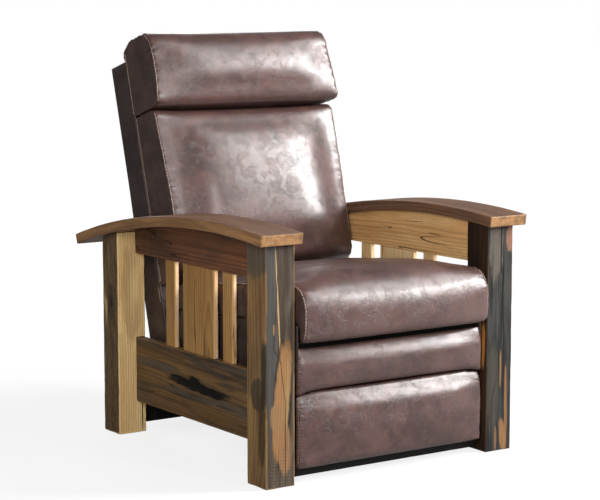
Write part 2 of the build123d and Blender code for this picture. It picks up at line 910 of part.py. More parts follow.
def build_back():
    screws = [back_screw(place) for place in back_screw_places()]
    nodes["back_brackets"] = pair(back_bracket())
    nodes["back_bracket_bolts"] = pair(group(screws))
    add_pair("back_stile", drilled(back_stile(), screws))
    top_rail_bottom = back_frame_height - back_cover_thickness - back_rail_height
    nodes["back_top_rail"] = back_rail(top_rail_bottom, stile_inner_x)
    nodes["back_middle_rail"] = back_rail(back_cushion_top, stile_inner_x)
    nodes["back_bottom_rail"] = back_rail(back_cushion_bottom - back_rail_height, back_bracket_x)
    nodes["back_webbing"] = back_straps()
    nodes["back_cover"] = back_cover()
    nodes["back_cushion"] = back_cushion()
    nodes["head_pillow"] = head_pillow()


build_frame()
build_mechanism()
build_footrest()
build_seat()
build_back()

os.makedirs("parts", exist_ok=True)
for name, shape in nodes.items():
    export_step(Pos(0, -floor_centre_y, 0) * shape, f"parts/{name}.step")
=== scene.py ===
import math

import bpy
import numpy as np
from mathutils import Matrix, Vector, noise
from mathutils.bvhtree import BVHTree


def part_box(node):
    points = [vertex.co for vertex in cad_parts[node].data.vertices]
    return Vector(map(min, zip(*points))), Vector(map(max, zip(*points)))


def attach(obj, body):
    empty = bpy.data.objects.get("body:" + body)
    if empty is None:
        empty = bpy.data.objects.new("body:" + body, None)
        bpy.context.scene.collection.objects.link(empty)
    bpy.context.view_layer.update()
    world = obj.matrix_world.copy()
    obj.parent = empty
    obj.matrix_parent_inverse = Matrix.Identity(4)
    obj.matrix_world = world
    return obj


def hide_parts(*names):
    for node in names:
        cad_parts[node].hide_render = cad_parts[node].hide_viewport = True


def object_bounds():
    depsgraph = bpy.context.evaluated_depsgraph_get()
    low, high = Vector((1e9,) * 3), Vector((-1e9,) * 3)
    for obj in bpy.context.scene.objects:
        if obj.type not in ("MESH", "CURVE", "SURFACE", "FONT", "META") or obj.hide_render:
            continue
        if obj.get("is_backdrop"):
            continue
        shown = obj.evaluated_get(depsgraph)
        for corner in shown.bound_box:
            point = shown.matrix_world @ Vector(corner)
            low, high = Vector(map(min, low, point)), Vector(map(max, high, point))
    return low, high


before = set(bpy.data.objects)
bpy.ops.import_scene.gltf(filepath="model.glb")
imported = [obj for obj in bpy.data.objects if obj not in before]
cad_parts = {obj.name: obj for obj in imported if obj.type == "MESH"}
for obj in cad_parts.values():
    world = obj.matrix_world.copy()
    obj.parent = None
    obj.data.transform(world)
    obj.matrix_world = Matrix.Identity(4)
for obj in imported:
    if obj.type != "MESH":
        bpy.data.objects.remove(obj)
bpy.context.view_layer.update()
scene = bpy.context.scene

# Sizes of the chair, in metres. SHIFT takes a place measured from the middle of the posts
# to the frame's origin.
POSTS_END = 0.4125
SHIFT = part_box("front_post_left")[0].y + POSTS_END
BOW_Y, BOW_TOP, BOW_RADIUS = -0.176 + SHIFT, 0.6515, 2.35
ARM_THICKNESS = 0.029
BOW_Z = BOW_TOP - BOW_RADIUS
SEAT_TILT = math.radians(3.9)
BACK_LEAN = math.radians(15.9)
SEAT_FRONT_Y, SEAT_LENGTH = -0.405, 0.61
SEAT_REAR_Y = SEAT_FRONT_Y + SEAT_LENGTH * math.cos(SEAT_TILT)
BACK_FOOT = Vector((0, SEAT_REAR_Y + 0.1344 + SHIFT, 0.4 - SEAT_LENGTH * math.sin(SEAT_TILT) - 0.0855))
BACK_HALF = 0.292
PILLOW_HALF = 0.297
SEAT_HALF = 0.296
PAD_HALF = 0.2945
SWELL = 1.0
FOLDS = 0.12  # share of the simulated folds that is kept

# Wood: a full turn of a wave, the distance between saw marks, the raggedness from which a patch has
# a soft edge, and the brightness below which a patch is burnt into the wood
TURN = 6.283
SAW_PITCH = 0.0085
SOFT_EDGE = 0.8
BURNT = 0.06


def tone(red, green, blue):
    """An 8-bit screen colour as the linear colour that a shader takes."""
    def linear(value):
        share = value / 255
        return share / 12.92 if share <= 0.04045 else ((share + 0.055) / 1.055) ** 2.4
    return (linear(red), linear(green), linear(blue), 1.0)


def assign(target, settings):
    for key, value in settings.items():
        setattr(target, key, value)


# Materials
class Value:
    """An output socket of a graph, which can be computed with."""

    def __init__(self, graph, socket):
        self.graph, self.socket = graph, socket

    def __add__(self, other):
        return self.graph.math("ADD", self, other)

    def __mul__(self, other):
        return self.graph.math("MULTIPLY", self, other)

    def __sub__(self, other):
        return self.graph.math("SUBTRACT", self, other)

    def __rsub__(self, other):
        return self.graph.math("SUBTRACT", other, self)

    def __truediv__(self, other):
        return self.graph.math("DIVIDE", self, other)

    def __pow__(self, other):
        return self.graph.math("POWER", self, other)

    def __abs__(self):
        return self.graph.math("ABSOLUTE", self)

    __radd__, __rmul__ = __add__, __mul__


class Graph:
    """A material's node tree, built with short calls that return values."""

    def __init__(self, name):
        self.material = bpy.data.materials.new(name)
        self.material.use_nodes = True
        self.tree = self.material.node_tree
        self.tree.nodes.clear()
        self.output = self.tree.nodes.new("ShaderNodeOutputMaterial")
        self.shader = self.node("ShaderNodeBsdfPrincipled")
        self.tree.links.new(self.shader.outputs[0], self.output.inputs[0])

    def node(self, kind, inputs=None, **settings):
        made = self.tree.nodes.new(kind)
        assign(made, settings)
        for key, value in (inputs or {}).items():
            self.put(made.inputs[key], value)
        return made

    def value(self, kind, inputs=None, output=0, **settings):
        return Value(self, self.node(kind, inputs, **settings).outputs[output])

    def put(self, socket, value):
        if isinstance(value, Value):
            self.tree.links.new(value.socket, socket)
        else:
            socket.default_value = value

    def finish(self, **inputs):
        for key, value in inputs.items():
            self.put(self.shader.inputs[key.replace("_", " ")], value)
        return self.material

    def math(self, operation, first, second=0.0):
        return self.value("ShaderNodeMath", {0: first, 1: second}, operation=operation)

    def wave(self, value, length):
        return self.math("SINE", value * (TURN / length))

    def step(self, value, low, high, start=0.0, end=1.0):
        """Goes smoothly from start to end while value goes from low to high."""
        inputs = {"Value": value, "From Min": low, "From Max": high, "To Min": start, "To Max": end}
        return self.value("ShaderNodeMapRange", inputs, interpolation_type="SMOOTHSTEP")

    def mix(self, share, first, second, mode="MIX"):
        return self.value(
            "ShaderNodeMix", {0: share, 6: first, 7: second}, 2, data_type="RGBA", blend_type=mode,
        )

    def noise(self, vector, scale=1.0, detail=2.0, roughness=0.5, distortion=0.0, output=0):
        inputs = {
            "Vector": vector, "Scale": scale, "Detail": detail, "Roughness": roughness, "Distortion": distortion,
        }
        return self.value("ShaderNodeTexNoise", inputs, output)

    def cells(self, vector, scale, feature):
        return self.value("ShaderNodeTexVoronoi", {"Vector": vector, "Scale": scale}, feature=feature)

    def vector(self, x, y, z):
        return self.value("ShaderNodeCombineXYZ", {0: x, 1: y, 2: z})

    def place(self):
        return self.value("ShaderNodeTexCoord", output="Object")

    def split(self, vector):
        return [Value(self, socket) for socket in self.node("ShaderNodeSeparateXYZ", {0: vector}).outputs]

    def bump(self, height, distance, strength=1.0):
        return self.value("ShaderNodeBump", {"Height": height, "Distance": distance, "Strength": strength})


def unbent(g, place):
    """Coordinates across, along and through a bowed arm board."""
    x, y, z = g.split(place)
    along, up = y - BOW_Y, z - BOW_Z
    angle = g.math("ARCTAN2", along, up)
    return x, angle * BOW_RADIUS, g.math("SQRT", along * along + up * up) - BOW_RADIUS


def wood(name, grain, seed, light, mid, dark, skin=(), skin_tones=(), skin_share=0.5,
         saw=0.25, ring=0.0075, streaks=0.35, patches=(), cracks=0.4, box=None, wear=0.5,
         bent=False, roughness=0.55, blotch=5.0, centre=(0.0, 0.0), gloss=0.2):
    """Sawn board: rings round a far heart, fibres, weathered skin on some faces, patches, cracks, worn edges."""
    light, mid, dark = tone(*light), tone(*mid), tone(*dark)
    g = Graph(name)
    x, y, z = unbent(g, g.place()) if bent else g.split(g.place())
    real = {"X": (x, y, z), "Y": (y, z, x), "Z": (z, x, y)}[grain]
    along, side, deep = real[0] + seed * 1.37, real[1] + seed * 0.73, real[2] + seed * 0.41

    def grained(lengthwise, crosswise, detail=2.0, **settings):
        """Noise with one scale along the grain and one across it."""
        return g.noise(g.vector(along * lengthwise, side * crosswise, deep * crosswise), detail=detail, **settings)

    # Growth rings, fibres and stains
    bulge = grained(2.4, 9.0) - 0.5
    heart = grained(1.1, 0.4, 1.0) - 0.5
    first = real[1] - (centre[0] + 0.035) + heart * 0.12 + bulge * 0.02
    second = real[2] - (centre[1] - 0.05) + bulge * 0.014
    far = g.math("SQRT", first * first + second * second)
    phase = g.math("FRACT", far / ring + grained(3.0, 30.0, 1.0) * 0.7)
    line = g.step(phase, 0.35, 0.86) * g.step(phase, 1.0, 0.9)
    fibre = grained(14.0, 420.0, 3.0, roughness=0.6)
    pores = grained(55.0, 1100.0, 1.0)
    cloud = grained(blotch * 0.55, blotch * 2.4, 3.0, distortion=0.4)
    streak = grained(1.4, 34.0, distortion=0.3)
    colour = g.mix(g.step(cloud, 0.36, 0.66), mid, light)
    colour = g.mix(line * 0.5, colour, dark)
    colour = g.mix(g.step(streak, 0.54, 0.7) * streaks, colour, dark)

    # Saw marks, fewer off the skin faces
    marks = g.math("SINE", (along + side * 0.12) * (TURN / SAW_PITCH) + grained(6.0, 6.0, 1.0) * 3.0)
    marks = g.step(marks, 0.25, 0.95) * (g.step(grained(5.0, 5.0), 0.45, 0.62) * saw)
    if skin:
        normal = g.value("ShaderNodeTexCoord", output="Normal")
        facing = 0.0
        for direction in skin:
            dot = g.value("ShaderNodeVectorMath", {0: normal, 1: direction}, "Value", operation="DOT_PRODUCT")
            facing = g.math("MAXIMUM", g.step(dot, 0.6, 0.85), facing)
        pale, plain, streaked = (tone(*colours) for colours in skin_tones)
        worn = grained(2.2, 15.0, 4.0, distortion=0.8)
        mottled = grained(7.0, 60.0, 4.0, distortion=0.6)
        weathered = g.mix(g.step(mottled, 0.35, 0.62), plain, pale)
        weathered = g.mix(g.step(streak, 0.5, 0.66) * 0.7, weathered, streaked)
        colour = g.mix(facing * g.step(worn, skin_share - 0.05, skin_share + 0.05), colour, weathered)
        marks = marks * (0.15 + facing * 0.85)
    colour = g.mix(marks * 0.55, colour, dark)
    colour = g.mix(g.step(fibre * 0.5 + pores * 0.3, 0.5, 0.28, 0.0, 0.45), colour, dark)

    # Cracks
    allowed = g.step(grained(1.7, 6.0, 1.0), 0.56 - 0.1 * cracks, 0.66 - 0.1 * cracks)
    crack = g.step(abs(grained(1.1, 22.0, distortion=0.5) - 0.5), 0.0085, 0.003) * allowed
    colour = g.mix(crack * 0.85, colour, tone(24, 19, 16))
    if box is not None:
        # Worn edges: the middle one of the three distances to the faces is small only at an edge
        gaps = [(top - bottom) / 2 - abs(axis - (bottom + top) / 2) for axis, bottom, top in zip((x, y, z), *box)]
        least = g.math("MINIMUM", g.math("MINIMUM", gaps[0], gaps[1]), gaps[2])
        most = g.math("MAXIMUM", g.math("MAXIMUM", gaps[0], gaps[1]), gaps[2])
        edge = gaps[0] + gaps[1] + gaps[2] - least - most
        rubbed = g.step(grained(16.0, 16.0, 3.0) * 0.011 - edge, 0.0, 0.0035)
        colour = g.mix(rubbed * wear, colour, light)

    # Patches
    height = fibre * 0.35 + pores * 0.2
    if patches:
        ragged = grained(24.0, 110.0, 3.0) - 0.5 + (grained(18.0, 520.0) - 0.5) * 0.8
        shade = 0.62 - line * 0.22 + (fibre * 0.9 + cloud * 0.4) * 0.6
        shade = g.vector(shade, shade, shade)
    for middle, size, tint, tilt, rough_edge, strength in patches:
        offset = real[0] - middle[0]
        parts = (offset, real[1] - middle[1] - offset * tilt, real[2] - middle[2])
        parts = [abs(part / reach) ** 2.4 for part, reach in zip(parts, size)]
        inside = parts[0] + parts[1] + parts[2] + ragged * rough_edge
        spot = g.step(inside, 1.12 if rough_edge < SOFT_EDGE else 1.45, 0.72) * strength
        colour = g.mix(spot, colour, g.mix(1.0, tone(*tint), shade, "MULTIPLY"))
        if sum(tone(*tint)[:3]) < BURNT:
            height = height - spot * 1.2
    height = height - line * 0.15 - marks * 0.5 - crack * 1.6
    return g.finish(
        Base_Color=colour, Roughness=fibre * 0.24 + (roughness - 0.12), Normal=g.bump(height, 0.0011, 0.8),
        Specular_IOR_Level=gloss,
    )


def leather(name, seed=0.0, dark=(68, 47, 43), mid=(91, 65, 60), red=(107, 72, 64), wrinkle=1.0,
            glaze=0.4, shine=0.6):
    """Glazed leather: mottled dye, pebbled grain, fine creases and a soft coat of gloss."""
    g = Graph(name)
    place = g.value("ShaderNodeVectorMath", {0: g.place(), 1: (seed, seed * 0.7, seed * 0.3)}, operation="ADD")
    cloud = g.noise(place, 9.0, 5.0, 0.65, 0.8)
    fleck = g.noise(place, 120.0, 4.0, 0.7)
    stain = g.noise(place, 32.0, 4.0, 0.7, 0.5)
    broad = g.noise(place, 26.0, 4.0, distortion=1.0)
    pebble = g.cells(place, 620.0, "SMOOTH_F1")
    bent = g.mix(0.018, place, g.noise(place, 60.0, output=1))
    crease = g.step(g.cells(bent, 130.0, "DISTANCE_TO_EDGE"), 0.07, 0.0)
    hairline = g.step(g.cells(bent, 300.0, "DISTANCE_TO_EDGE"), 0.07, 0.0)
    crushed = g.step(broad, 0.44, 0.60, 0.15, 1.0)
    lines = g.math("MAXIMUM", crease * crushed, hairline * (crushed * 0.4))
    colour = g.mix(g.step(cloud, 0.38, 0.62), tone(*dark), tone(*mid))
    colour = g.mix(g.step(stain, 0.5, 0.68, 0.0, 0.45), colour, tone(*red))
    colour = g.mix(g.step(stain, 0.44, 0.32, 0.0, 0.55), colour, tone(58, 40, 38))
    colour = g.mix(g.step(fleck, 0.56, 0.7, 0.0, 0.3), colour, tone(*red))
    colour = g.mix(lines * 0.45, colour, tone(46, 31, 29))
    height = broad * (0.3 * wrinkle) - lines * (0.36 * wrinkle) + fleck * (0.2 * wrinkle) + pebble * 0.05
    return g.finish(
        Base_Color=colour, Roughness=fleck * 0.26 + 0.17 + stain * 0.08 + lines * 0.22,
        Normal=g.bump(height, 0.0015, 0.6), Specular_IOR_Level=shine, Coat_Weight=glaze, Coat_Roughness=0.25,
    )


def woven(name, warp, first, second, thread=0.0022, striped=0.6):
    """Elastic webbing: crossed threads along one axis and across it."""
    g = Graph(name)
    x, y, z = g.split(g.place())
    across = y if warp == "Y" else z
    weave = g.wave(x, thread) * g.wave(across, thread)
    colour = g.mix(g.step(weave, -0.6, 0.6), tone(*first), tone(*second))
    colour = g.mix(g.step(g.wave(across, 0.017), 0.8, 0.95, 0.0, striped), colour, tone(150, 60, 50))
    rough = 0.75 + g.noise(g.place(), 900.0) * 0.2
    return g.finish(Base_Color=colour, Roughness=rough, Normal=g.bump(weave, 0.0005), Specular_IOR_Level=0.2)


def steel(name, base, worn, roughness, metallic=1.0):
    """Steel strip, blackened or bright, with rolling marks and rubbed spots."""
    g = Graph(name)
    x, y, z = g.split(g.place())
    rolled = g.noise(g.vector(x * 900.0, y * 30.0, z * 900.0))
    colour = g.mix(g.step(g.noise(g.place(), 60.0, 4.0), 0.52, 0.7), tone(*base), tone(*worn))
    return g.finish(
        Base_Color=colour, Roughness=roughness - 0.1 + rolled * 0.22, Metallic=metallic,
        Normal=g.bump(rolled, 0.0002, 0.5),
    )


def painted_board(name):
    """Black brushed paint over a plain board."""
    g = Graph(name)
    x, y, z = g.split(g.place())
    brushed = g.noise(g.vector(x * 9.0, y * 400.0, z * 400.0), detail=3.0)
    colour = g.mix(g.step(g.noise(g.place(), 30.0, 4.0), 0.6, 0.75), tone(22, 20, 19), tone(44, 39, 35))
    return g.finish(
        Base_Color=colour, Roughness=0.45 + brushed * 0.25, Normal=g.bump(brushed, 0.0004, 0.6),
        Specular_IOR_Level=0.3,
    )


def sewing_thread(name):
    g = Graph(name)
    twist = g.noise(g.place(), 1400.0)
    colour = g.mix(twist, tone(150, 126, 116), tone(188, 166, 154))
    return g.finish(Base_Color=colour, Roughness=0.7, Normal=g.bump(twist, 0.0003), Specular_IOR_Level=0.2)


# Meshes
def smoothed(mesh):
    mesh.polygons.foreach_set("use_smooth", [True] * len(mesh.polygons))


def add_object(name, points, faces, material, body, replaced=()):
    mesh = bpy.data.meshes.new(name)
    mesh.from_pydata([tuple(p) for p in points], [], faces)
    mesh.update()
    made = bpy.data.objects.new(name, mesh)
    scene.collection.objects.link(made)
    smoothed(mesh)
    mesh.materials.append(material)
    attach(made, body)
    if replaced:
        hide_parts(*replaced)
    return made


def lattice(low, high, cell, edge):
    """Places of mesh lines from low to high, closer together near both ends."""
    inner = high - low - 2 * edge
    count = max(1, round(inner / cell))
    start = [low, low + 0.35 * edge, low + 0.7 * edge]
    middle = [low + edge + inner * i / count for i in range(count + 1)]
    return start + middle + [high - 0.7 * edge, high - 0.35 * edge, high]


def box_shell(lines):
    """Points and faces of a closed box whose faces are divided at the given places."""
    index, points, faces = {}, [], []

    def point(key):
        if key not in index:
            index[key] = len(points)
            points.append(Vector(lines[a][key[a]] for a in range(3)))
        return index[key]

    for axis in range(3):
        u, v = (axis + 1) % 3, (axis + 2) % 3
        last = len(lines[axis]) - 1
        for end in (0, last):
            for a in range(len(lines[u]) - 1):
                for b in range(len(lines[v]) - 1):
                    quad = []
                    for da, db in ((0, 0), (1, 0), (1, 1), (0, 1)):
                        key = [0, 0, 0]
                        key[axis], key[u], key[v] = end, a + da, b + db
                        quad.append(point(tuple(key)))
                    faces.append(quad if end else quad[::-1])
    return points, faces


def weather(points, low, high, edge, erosion, dents, seed):
    """Rounds and chips a board's edges and dents its faces, always inwards."""
    shift = Vector((seed * 3.1, seed * 1.7, seed * 0.9))
    for p in points:
        rough = noise.noise((p + shift) * 38)
        coarse = noise.noise((p + shift) * 9)
        radius = edge + erosion * max(0.0, rough * 0.6 + coarse * 0.9)
        core = Vector(min(max(p[a], low[a] + radius), high[a] - radius) for a in range(3))
        out = p - core
        if out.length < 1e-7:
            continue
        normal = out.normalized()
        depth = dents * (0.5 + 0.5 * noise.noise((p + shift) * 21)) * 0.7
        depth += dents * max(0.0, noise.noise((p + shift) * 90)) * 0.5
        p[:] = core + normal * (radius - depth)


def board(name, material, slot, replaced, box=None, edge=0.0025, erosion=0.0022, dents=0.0006, inset=None,
          seed=1.0, warp=None):
    """A weathered board that stands for a CAD board, in that board's box or in the one given."""
    low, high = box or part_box(replaced)
    inset = dents * 0.2 if inset is None else inset
    low, high = Vector(v + inset for v in low), Vector(v - inset for v in high)
    points, faces = box_shell([lattice(low[a], high[a], 0.009, edge + erosion) for a in range(3)])
    weather(points, low, high, edge, erosion, dents, seed)
    if warp:
        for p in points:
            warp(p, low, high)
    add_object(name, points, faces, material, "root", [replaced])


def under_arm_z(y):
    radius = BOW_RADIUS - ARM_THICKNESS - 0.0002
    return BOW_Z + math.sqrt(radius**2 - (y - BOW_Y) ** 2)


def to_arm(p, low, high):
    """Bends a straight top to the underside of the bowed arm."""
    share = (p.z - low.z) / (high.z - low.z)
    p.z = low.z + share * (under_arm_z(p.y) - low.z)


def to_bow(p, low, high):
    """Bends a flat arm board whose upper face is at height 0."""
    angle, radius = p.y / BOW_RADIUS, BOW_RADIUS + p.z
    p.y, p.z = BOW_Y + radius * math.sin(angle), BOW_Z + radius * math.cos(angle)


# Wooden frame, in screen colours: tones are light, middle and dark, skin tones pale, plain and streaked
grey_skin = ((112, 108, 100), (76, 72, 67), (40, 37, 35))
blue_skin = ((66, 66, 63), (45, 45, 45), (22, 22, 23))
orange, straw, black = (144, 106, 68), (190, 156, 108), (18, 15, 14)


def patches_on(face, rows):
    """Patches on the face at that place. Each row: middle along the grain, across it and behind the face,
    half the size in the same three directions, colour, lean, raggedness and strength."""
    return [((row[0], row[1], face + row[2]), row[3:6], *row[6:]) for row in rows]


front_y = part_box("front_post_left")[0].y
rear_front_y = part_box("rear_post_left")[0].y
left_patches = patches_on(front_y, [
    (0.45, -0.378, 0, 0.30, 0.016, 0.003, (64, 68, 70), 0.0, 1.6, 0.6),
    (0.47, -0.3588, 0, 0.13, 0.0022, 0.003, straw, -0.055, 1.5, 0.75),
    (0.40, -0.370, 0, 0.014, 0.004, 0.003, orange, 0.0, 1.0, 0.8),
    (0.215, -0.346, 0, 0.150, 0.027, 0.004, black, 0.06, 0.9, 0.75),
    (0.222, -0.347, 0, 0.142, 0.022, 0.004, orange, 0.10, 0.9, 1.0),
    (0.178, -0.362, 0, 0.036, 0.018, 0.004, (140, 106, 72), 0.0, 1.4, 0.95),
    (0.098, -0.339, 0, 0.066, 0.016, 0.004, (138, 102, 68), 0.0, 1.2, 0.95),
    (0.24, -0.330, 0, 0.085, 0.005, 0.004, (144, 120, 80), 0.03, 1.4, 0.7),
    (0.475, -0.3632, 0, 0.13, 0.0009, 0.004, black, 0.055, 0.25, 1.0),
    (0.335, -0.3615, 0, 0.026, 0.0010, 0.004, black, -0.55, 0.2, 1.0),
    (0.272, -0.3452, 0, 0.052, 0.0010, 0.004, black, -0.13, 0.2, 1.0),
    (0.105, -0.3372, 0, 0.125, 0.0011, 0.004, black, 0.0, 0.3, 1.0),
    (0.485, -0.395, 0.003, 0.078, 0.004, 0.0045, orange, 0.0, 1.2, 0.95),
    (0.60, -0.395, 0.045, 0.07, 0.006, 0.06, (84, 78, 68), 0.0, 1.6, 0.8),
    (0.29, -0.395, 0.008, 0.08, 0.006, 0.016, (60, 54, 46), 0.0, 1.6, 0.85),
    (0.235, -0.395, 0.035, 0.04, 0.006, 0.03, (58, 52, 46), 0.0, 1.6, 0.8),
    (0.17, -0.395, 0.072, 0.05, 0.006, 0.012, (150, 122, 72), 0.0, 1.4, 0.7),
    # Dark brown patch low along the front edge of the outer side: painted shadow.
    (0.15, -0.395, 0.020, 0.09, 0.006, 0.014, (70, 52, 34), 0.0, 1.4, 0.8),
])
right_patches = patches_on(front_y, [
    (0.55, 0.337, 0, 0.085, 0.022, 0.003, (104, 94, 84), 0.0, 2.4, 0.7),
    (0.575, 0.384, 0.002, 0.036, 0.011, 0.006, (142, 102, 80), 0.0, 1.4, 0.9),
    (0.17, 0.330, 0, 0.12, 0.022, 0.003, (70, 66, 56), 0.0, 1.6, 0.6),
    (0.125, 0.3765, 0, 0.118, 0.0045, 0.004, (130, 94, 62), -0.02, 1.5, 0.9),
    (0.04, 0.366, 0, 0.046, 0.010, 0.004, (138, 102, 66), -0.10, 1.2, 0.95),
    (0.035, 0.342, 0, 0.034, 0.004, 0.004, (124, 92, 62), 0.0, 1.2, 0.9),
    (0.22, 0.357, 0, 0.05, 0.003, 0.004, (150, 110, 70), 0.0, 1.6, 0.7),
    (0.56, 0.3545, 0, 0.085, 0.0022, 0.004, black, 0.0, 0.5, 1.0),
    (0.43, 0.361, 0, 0.10, 0.0026, 0.004, black, 0.03, 0.9, 0.9),
    (0.33, 0.366, 0, 0.14, 0.0016, 0.004, black, -0.03, 0.7, 0.9),
    (0.47, 0.325, 0, 0.09, 0.0012, 0.004, black, 0.02, 0.6, 0.8),
    (0.20, 0.389, 0, 0.17, 0.004, 0.004, (44, 40, 36), 0.0, 1.2, 0.8),
    (0.29, 0.308, 0.018, 0.06, 0.004, 0.010, (190, 126, 66), 0.0, 1.6, 0.9),
])
rear_patches = patches_on(rear_front_y, [
    (0.40, -0.350, 0, 0.13, 0.03, 0.003, straw, 0.0, 1.8, 0.6),
    (0.05, -0.3205, 0, 0.045, 0.0014, 0.003, black, 0.0, 0.6, 1.0),
    (0.20, -0.325, 0, 0.03, 0.006, 0.003, (96, 62, 36), 0.0, 1.5, 0.7),
    (0.372, -0.395, 0.040, 0.016, 0.006, 0.008, black, 0.0, 1.4, 0.9),
    (0.372, -0.395, 0.040, 0.05, 0.005, 0.016, (70, 56, 44), 0.0, 1.8, 0.7),
])
post_looks = {
    "front_post_left": dict(
        seed=1.3, light=(168, 130, 82), mid=(132, 102, 66), dark=(74, 56, 40), skin=((0, -1, 0),),
        skin_tones=((98, 88, 75), (72, 63, 54), (42, 37, 33)), skin_share=0.2, saw=0.6, cracks=0.1,
        patches=left_patches,
    ),
    "front_post_right": dict(
        seed=5.9, light=(76, 52, 33), mid=(44, 31, 22), dark=(26, 20, 16), skin=((0, -1, 0), (1, 0, 0)),
        skin_tones=blue_skin, skin_share=0.2, saw=0.3, cracks=1.0, streaks=0.6,
        patches=right_patches,
    ),
    "rear_post_left": dict(
        # Near-white body tones: partly the post's pale wood, partly painted light on its front face, which the arm and
        # back shade.
        seed=2.7, light=(254, 224, 162), mid=(248, 208, 144), dark=(192, 150, 98), skin=((-1, 0, 0),),
        skin_tones=((72, 64, 52), (48, 42, 34), (28, 24, 20)), skin_share=0.28, saw=0.15, cracks=0.3,
        streaks=0.25, patches=rear_patches,
    ),
    "rear_post_right": dict(
        seed=7.1, light=(190, 150, 100), mid=(150, 112, 70), dark=(80, 60, 42), skin=((1, 0, 0), (0, 1, 0)),
        skin_tones=grey_skin, skin_share=0.4, saw=0.5, cracks=0.6,
    ),
}
for post_name, looks in post_looks.items():
    low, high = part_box(post_name)
    centre = ((low.x + high.x) / 2, (low.y + high.y) / 2)
    board(
        "post_" + post_name, wood(post_name + "_wood", "Z", box=(low, high), centre=centre, **looks),
        "weathered_post_wood", post_name, seed=looks["seed"], erosion=0.0035, dents=0.0011, warp=to_arm,
    )

FRONT_OVERHANG, REAR_OVERHANG = 0.023, 0.107
arm_ends = [
    math.asin((end + SHIFT - BOW_Y) / BOW_RADIUS) * BOW_RADIUS
    for end in (-POSTS_END - FRONT_OVERHANG, POSTS_END + REAR_OVERHANG)
]
for side, sign, seed in (("left", -1, 3.3), ("right", 1, 8.2)):
    node = "arm_board_" + side
    arm_low, arm_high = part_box(node)
    made = wood(
        "arm_wood_" + side, "Y", seed, (134, 98, 72), (108, 80, 62), (72, 52, 40), skin=((0, -1, 0), (sign, 0, 0)),
        skin_tones=((176, 130, 84), (146, 106, 66), (106, 75, 48)), skin_share=0.2, bent=True, streaks=0.5, saw=0.1,
        cracks=0.2, wear=0.6, gloss=0.4, roughness=0.48, centre=(-0.03, (arm_low.x + arm_high.x) / 2),
        box=(Vector((arm_low.x, -10.0, -ARM_THICKNESS)), Vector((arm_high.x, 10.0, 0.0))),
    )
    flat = (Vector((arm_low.x, arm_ends[0], -ARM_THICKNESS)), Vector((arm_high.x, arm_ends[1], 0.0)))
    board(
        "arm_" + side, made, "arm_wood", node, flat, edge=0.0028, erosion=0.0016, dents=0.0004, inset=0.0, seed=seed,
        warp=to_bow,
    )

filled_knot = patches_on(-0.340, [
    (-0.040, 0.187, 0, 0.148, 0.020, 0.02, (74, 62, 46), 0.045, 1.6, 0.6),
    (-0.040, 0.184, 0, 0.140, 0.013, 0.02, black, 0.045, 2.2, 1.0),
    (-0.020, 0.190, 0, 0.030, 0.019, 0.02, black, 0.0, 2.0, 1.0),
    (0.15, 0.255, 0, 0.12, 0.012, 0.01, (96, 72, 48), 0.0, 2.0, 0.7),
    (-0.12, 0.12, 0, 0.12, 0.014, 0.01, (120, 88, 52), 0.05, 2.0, 0.7),
])
diagonal_ticks = patches_on(-0.335, [
    (0.443, -0.038, 0, 0.042, 0.0022, 0.006, (70, 48, 28), 0.92, 0.5, 0.9),
    (0.488, -0.044, 0, 0.018, 0.0018, 0.006, (70, 48, 28), 1.2, 0.5, 0.8),
    (0.425, -0.020, 0, 0.020, 0.0016, 0.006, (80, 56, 32), 0.9, 0.5, 0.7),
    (0.400, -0.030, 0, 0.014, 0.0016, 0.006, (80, 56, 32), 0.9, 0.5, 0.7),
    (0.367, -0.066, 0, 0.011, 0.0035, 0.006, (66, 44, 26), 0.0, 1.2, 0.8),
    (0.342, -0.050, 0, 0.028, 0.010, 0.005, (120, 86, 50), 0.1, 1.8, 0.7),
])
# Very pale front faces of the slats: partly fresh-cut wood, partly painted light on faces the lamps reach little.
fresh_edge_painted_light = dict(
    skin=((0, -1, 0),), skin_share=0.2, skin_tones=((246, 216, 184), (232, 190, 150), (176, 132, 94)),
    wear=0.8,
)
side_looks = {
    "left": dict(
        sign=-1, seed=4.4, rail_patches=filled_knot, slat_patches=diagonal_ticks,
        rail=((140, 90, 60), (94, 66, 50), (56, 42, 34)), slat=((206, 158, 96), (176, 130, 76), (124, 90, 53)),
    ),
    "right": dict(
        sign=1, seed=9.6, rail_patches=(), slat_patches=(),
        # Right rails and slats are much paler than the left: partly fresher wood, partly painted light on the inner
        # faces.
        rail=((252, 210, 146), (240, 186, 122), (182, 132, 84)),
        slat=((254, 222, 168), (248, 204, 148), (194, 150, 100)),
    ),
}
TENON = 0.0012
NARROW_SLAT = 0.049
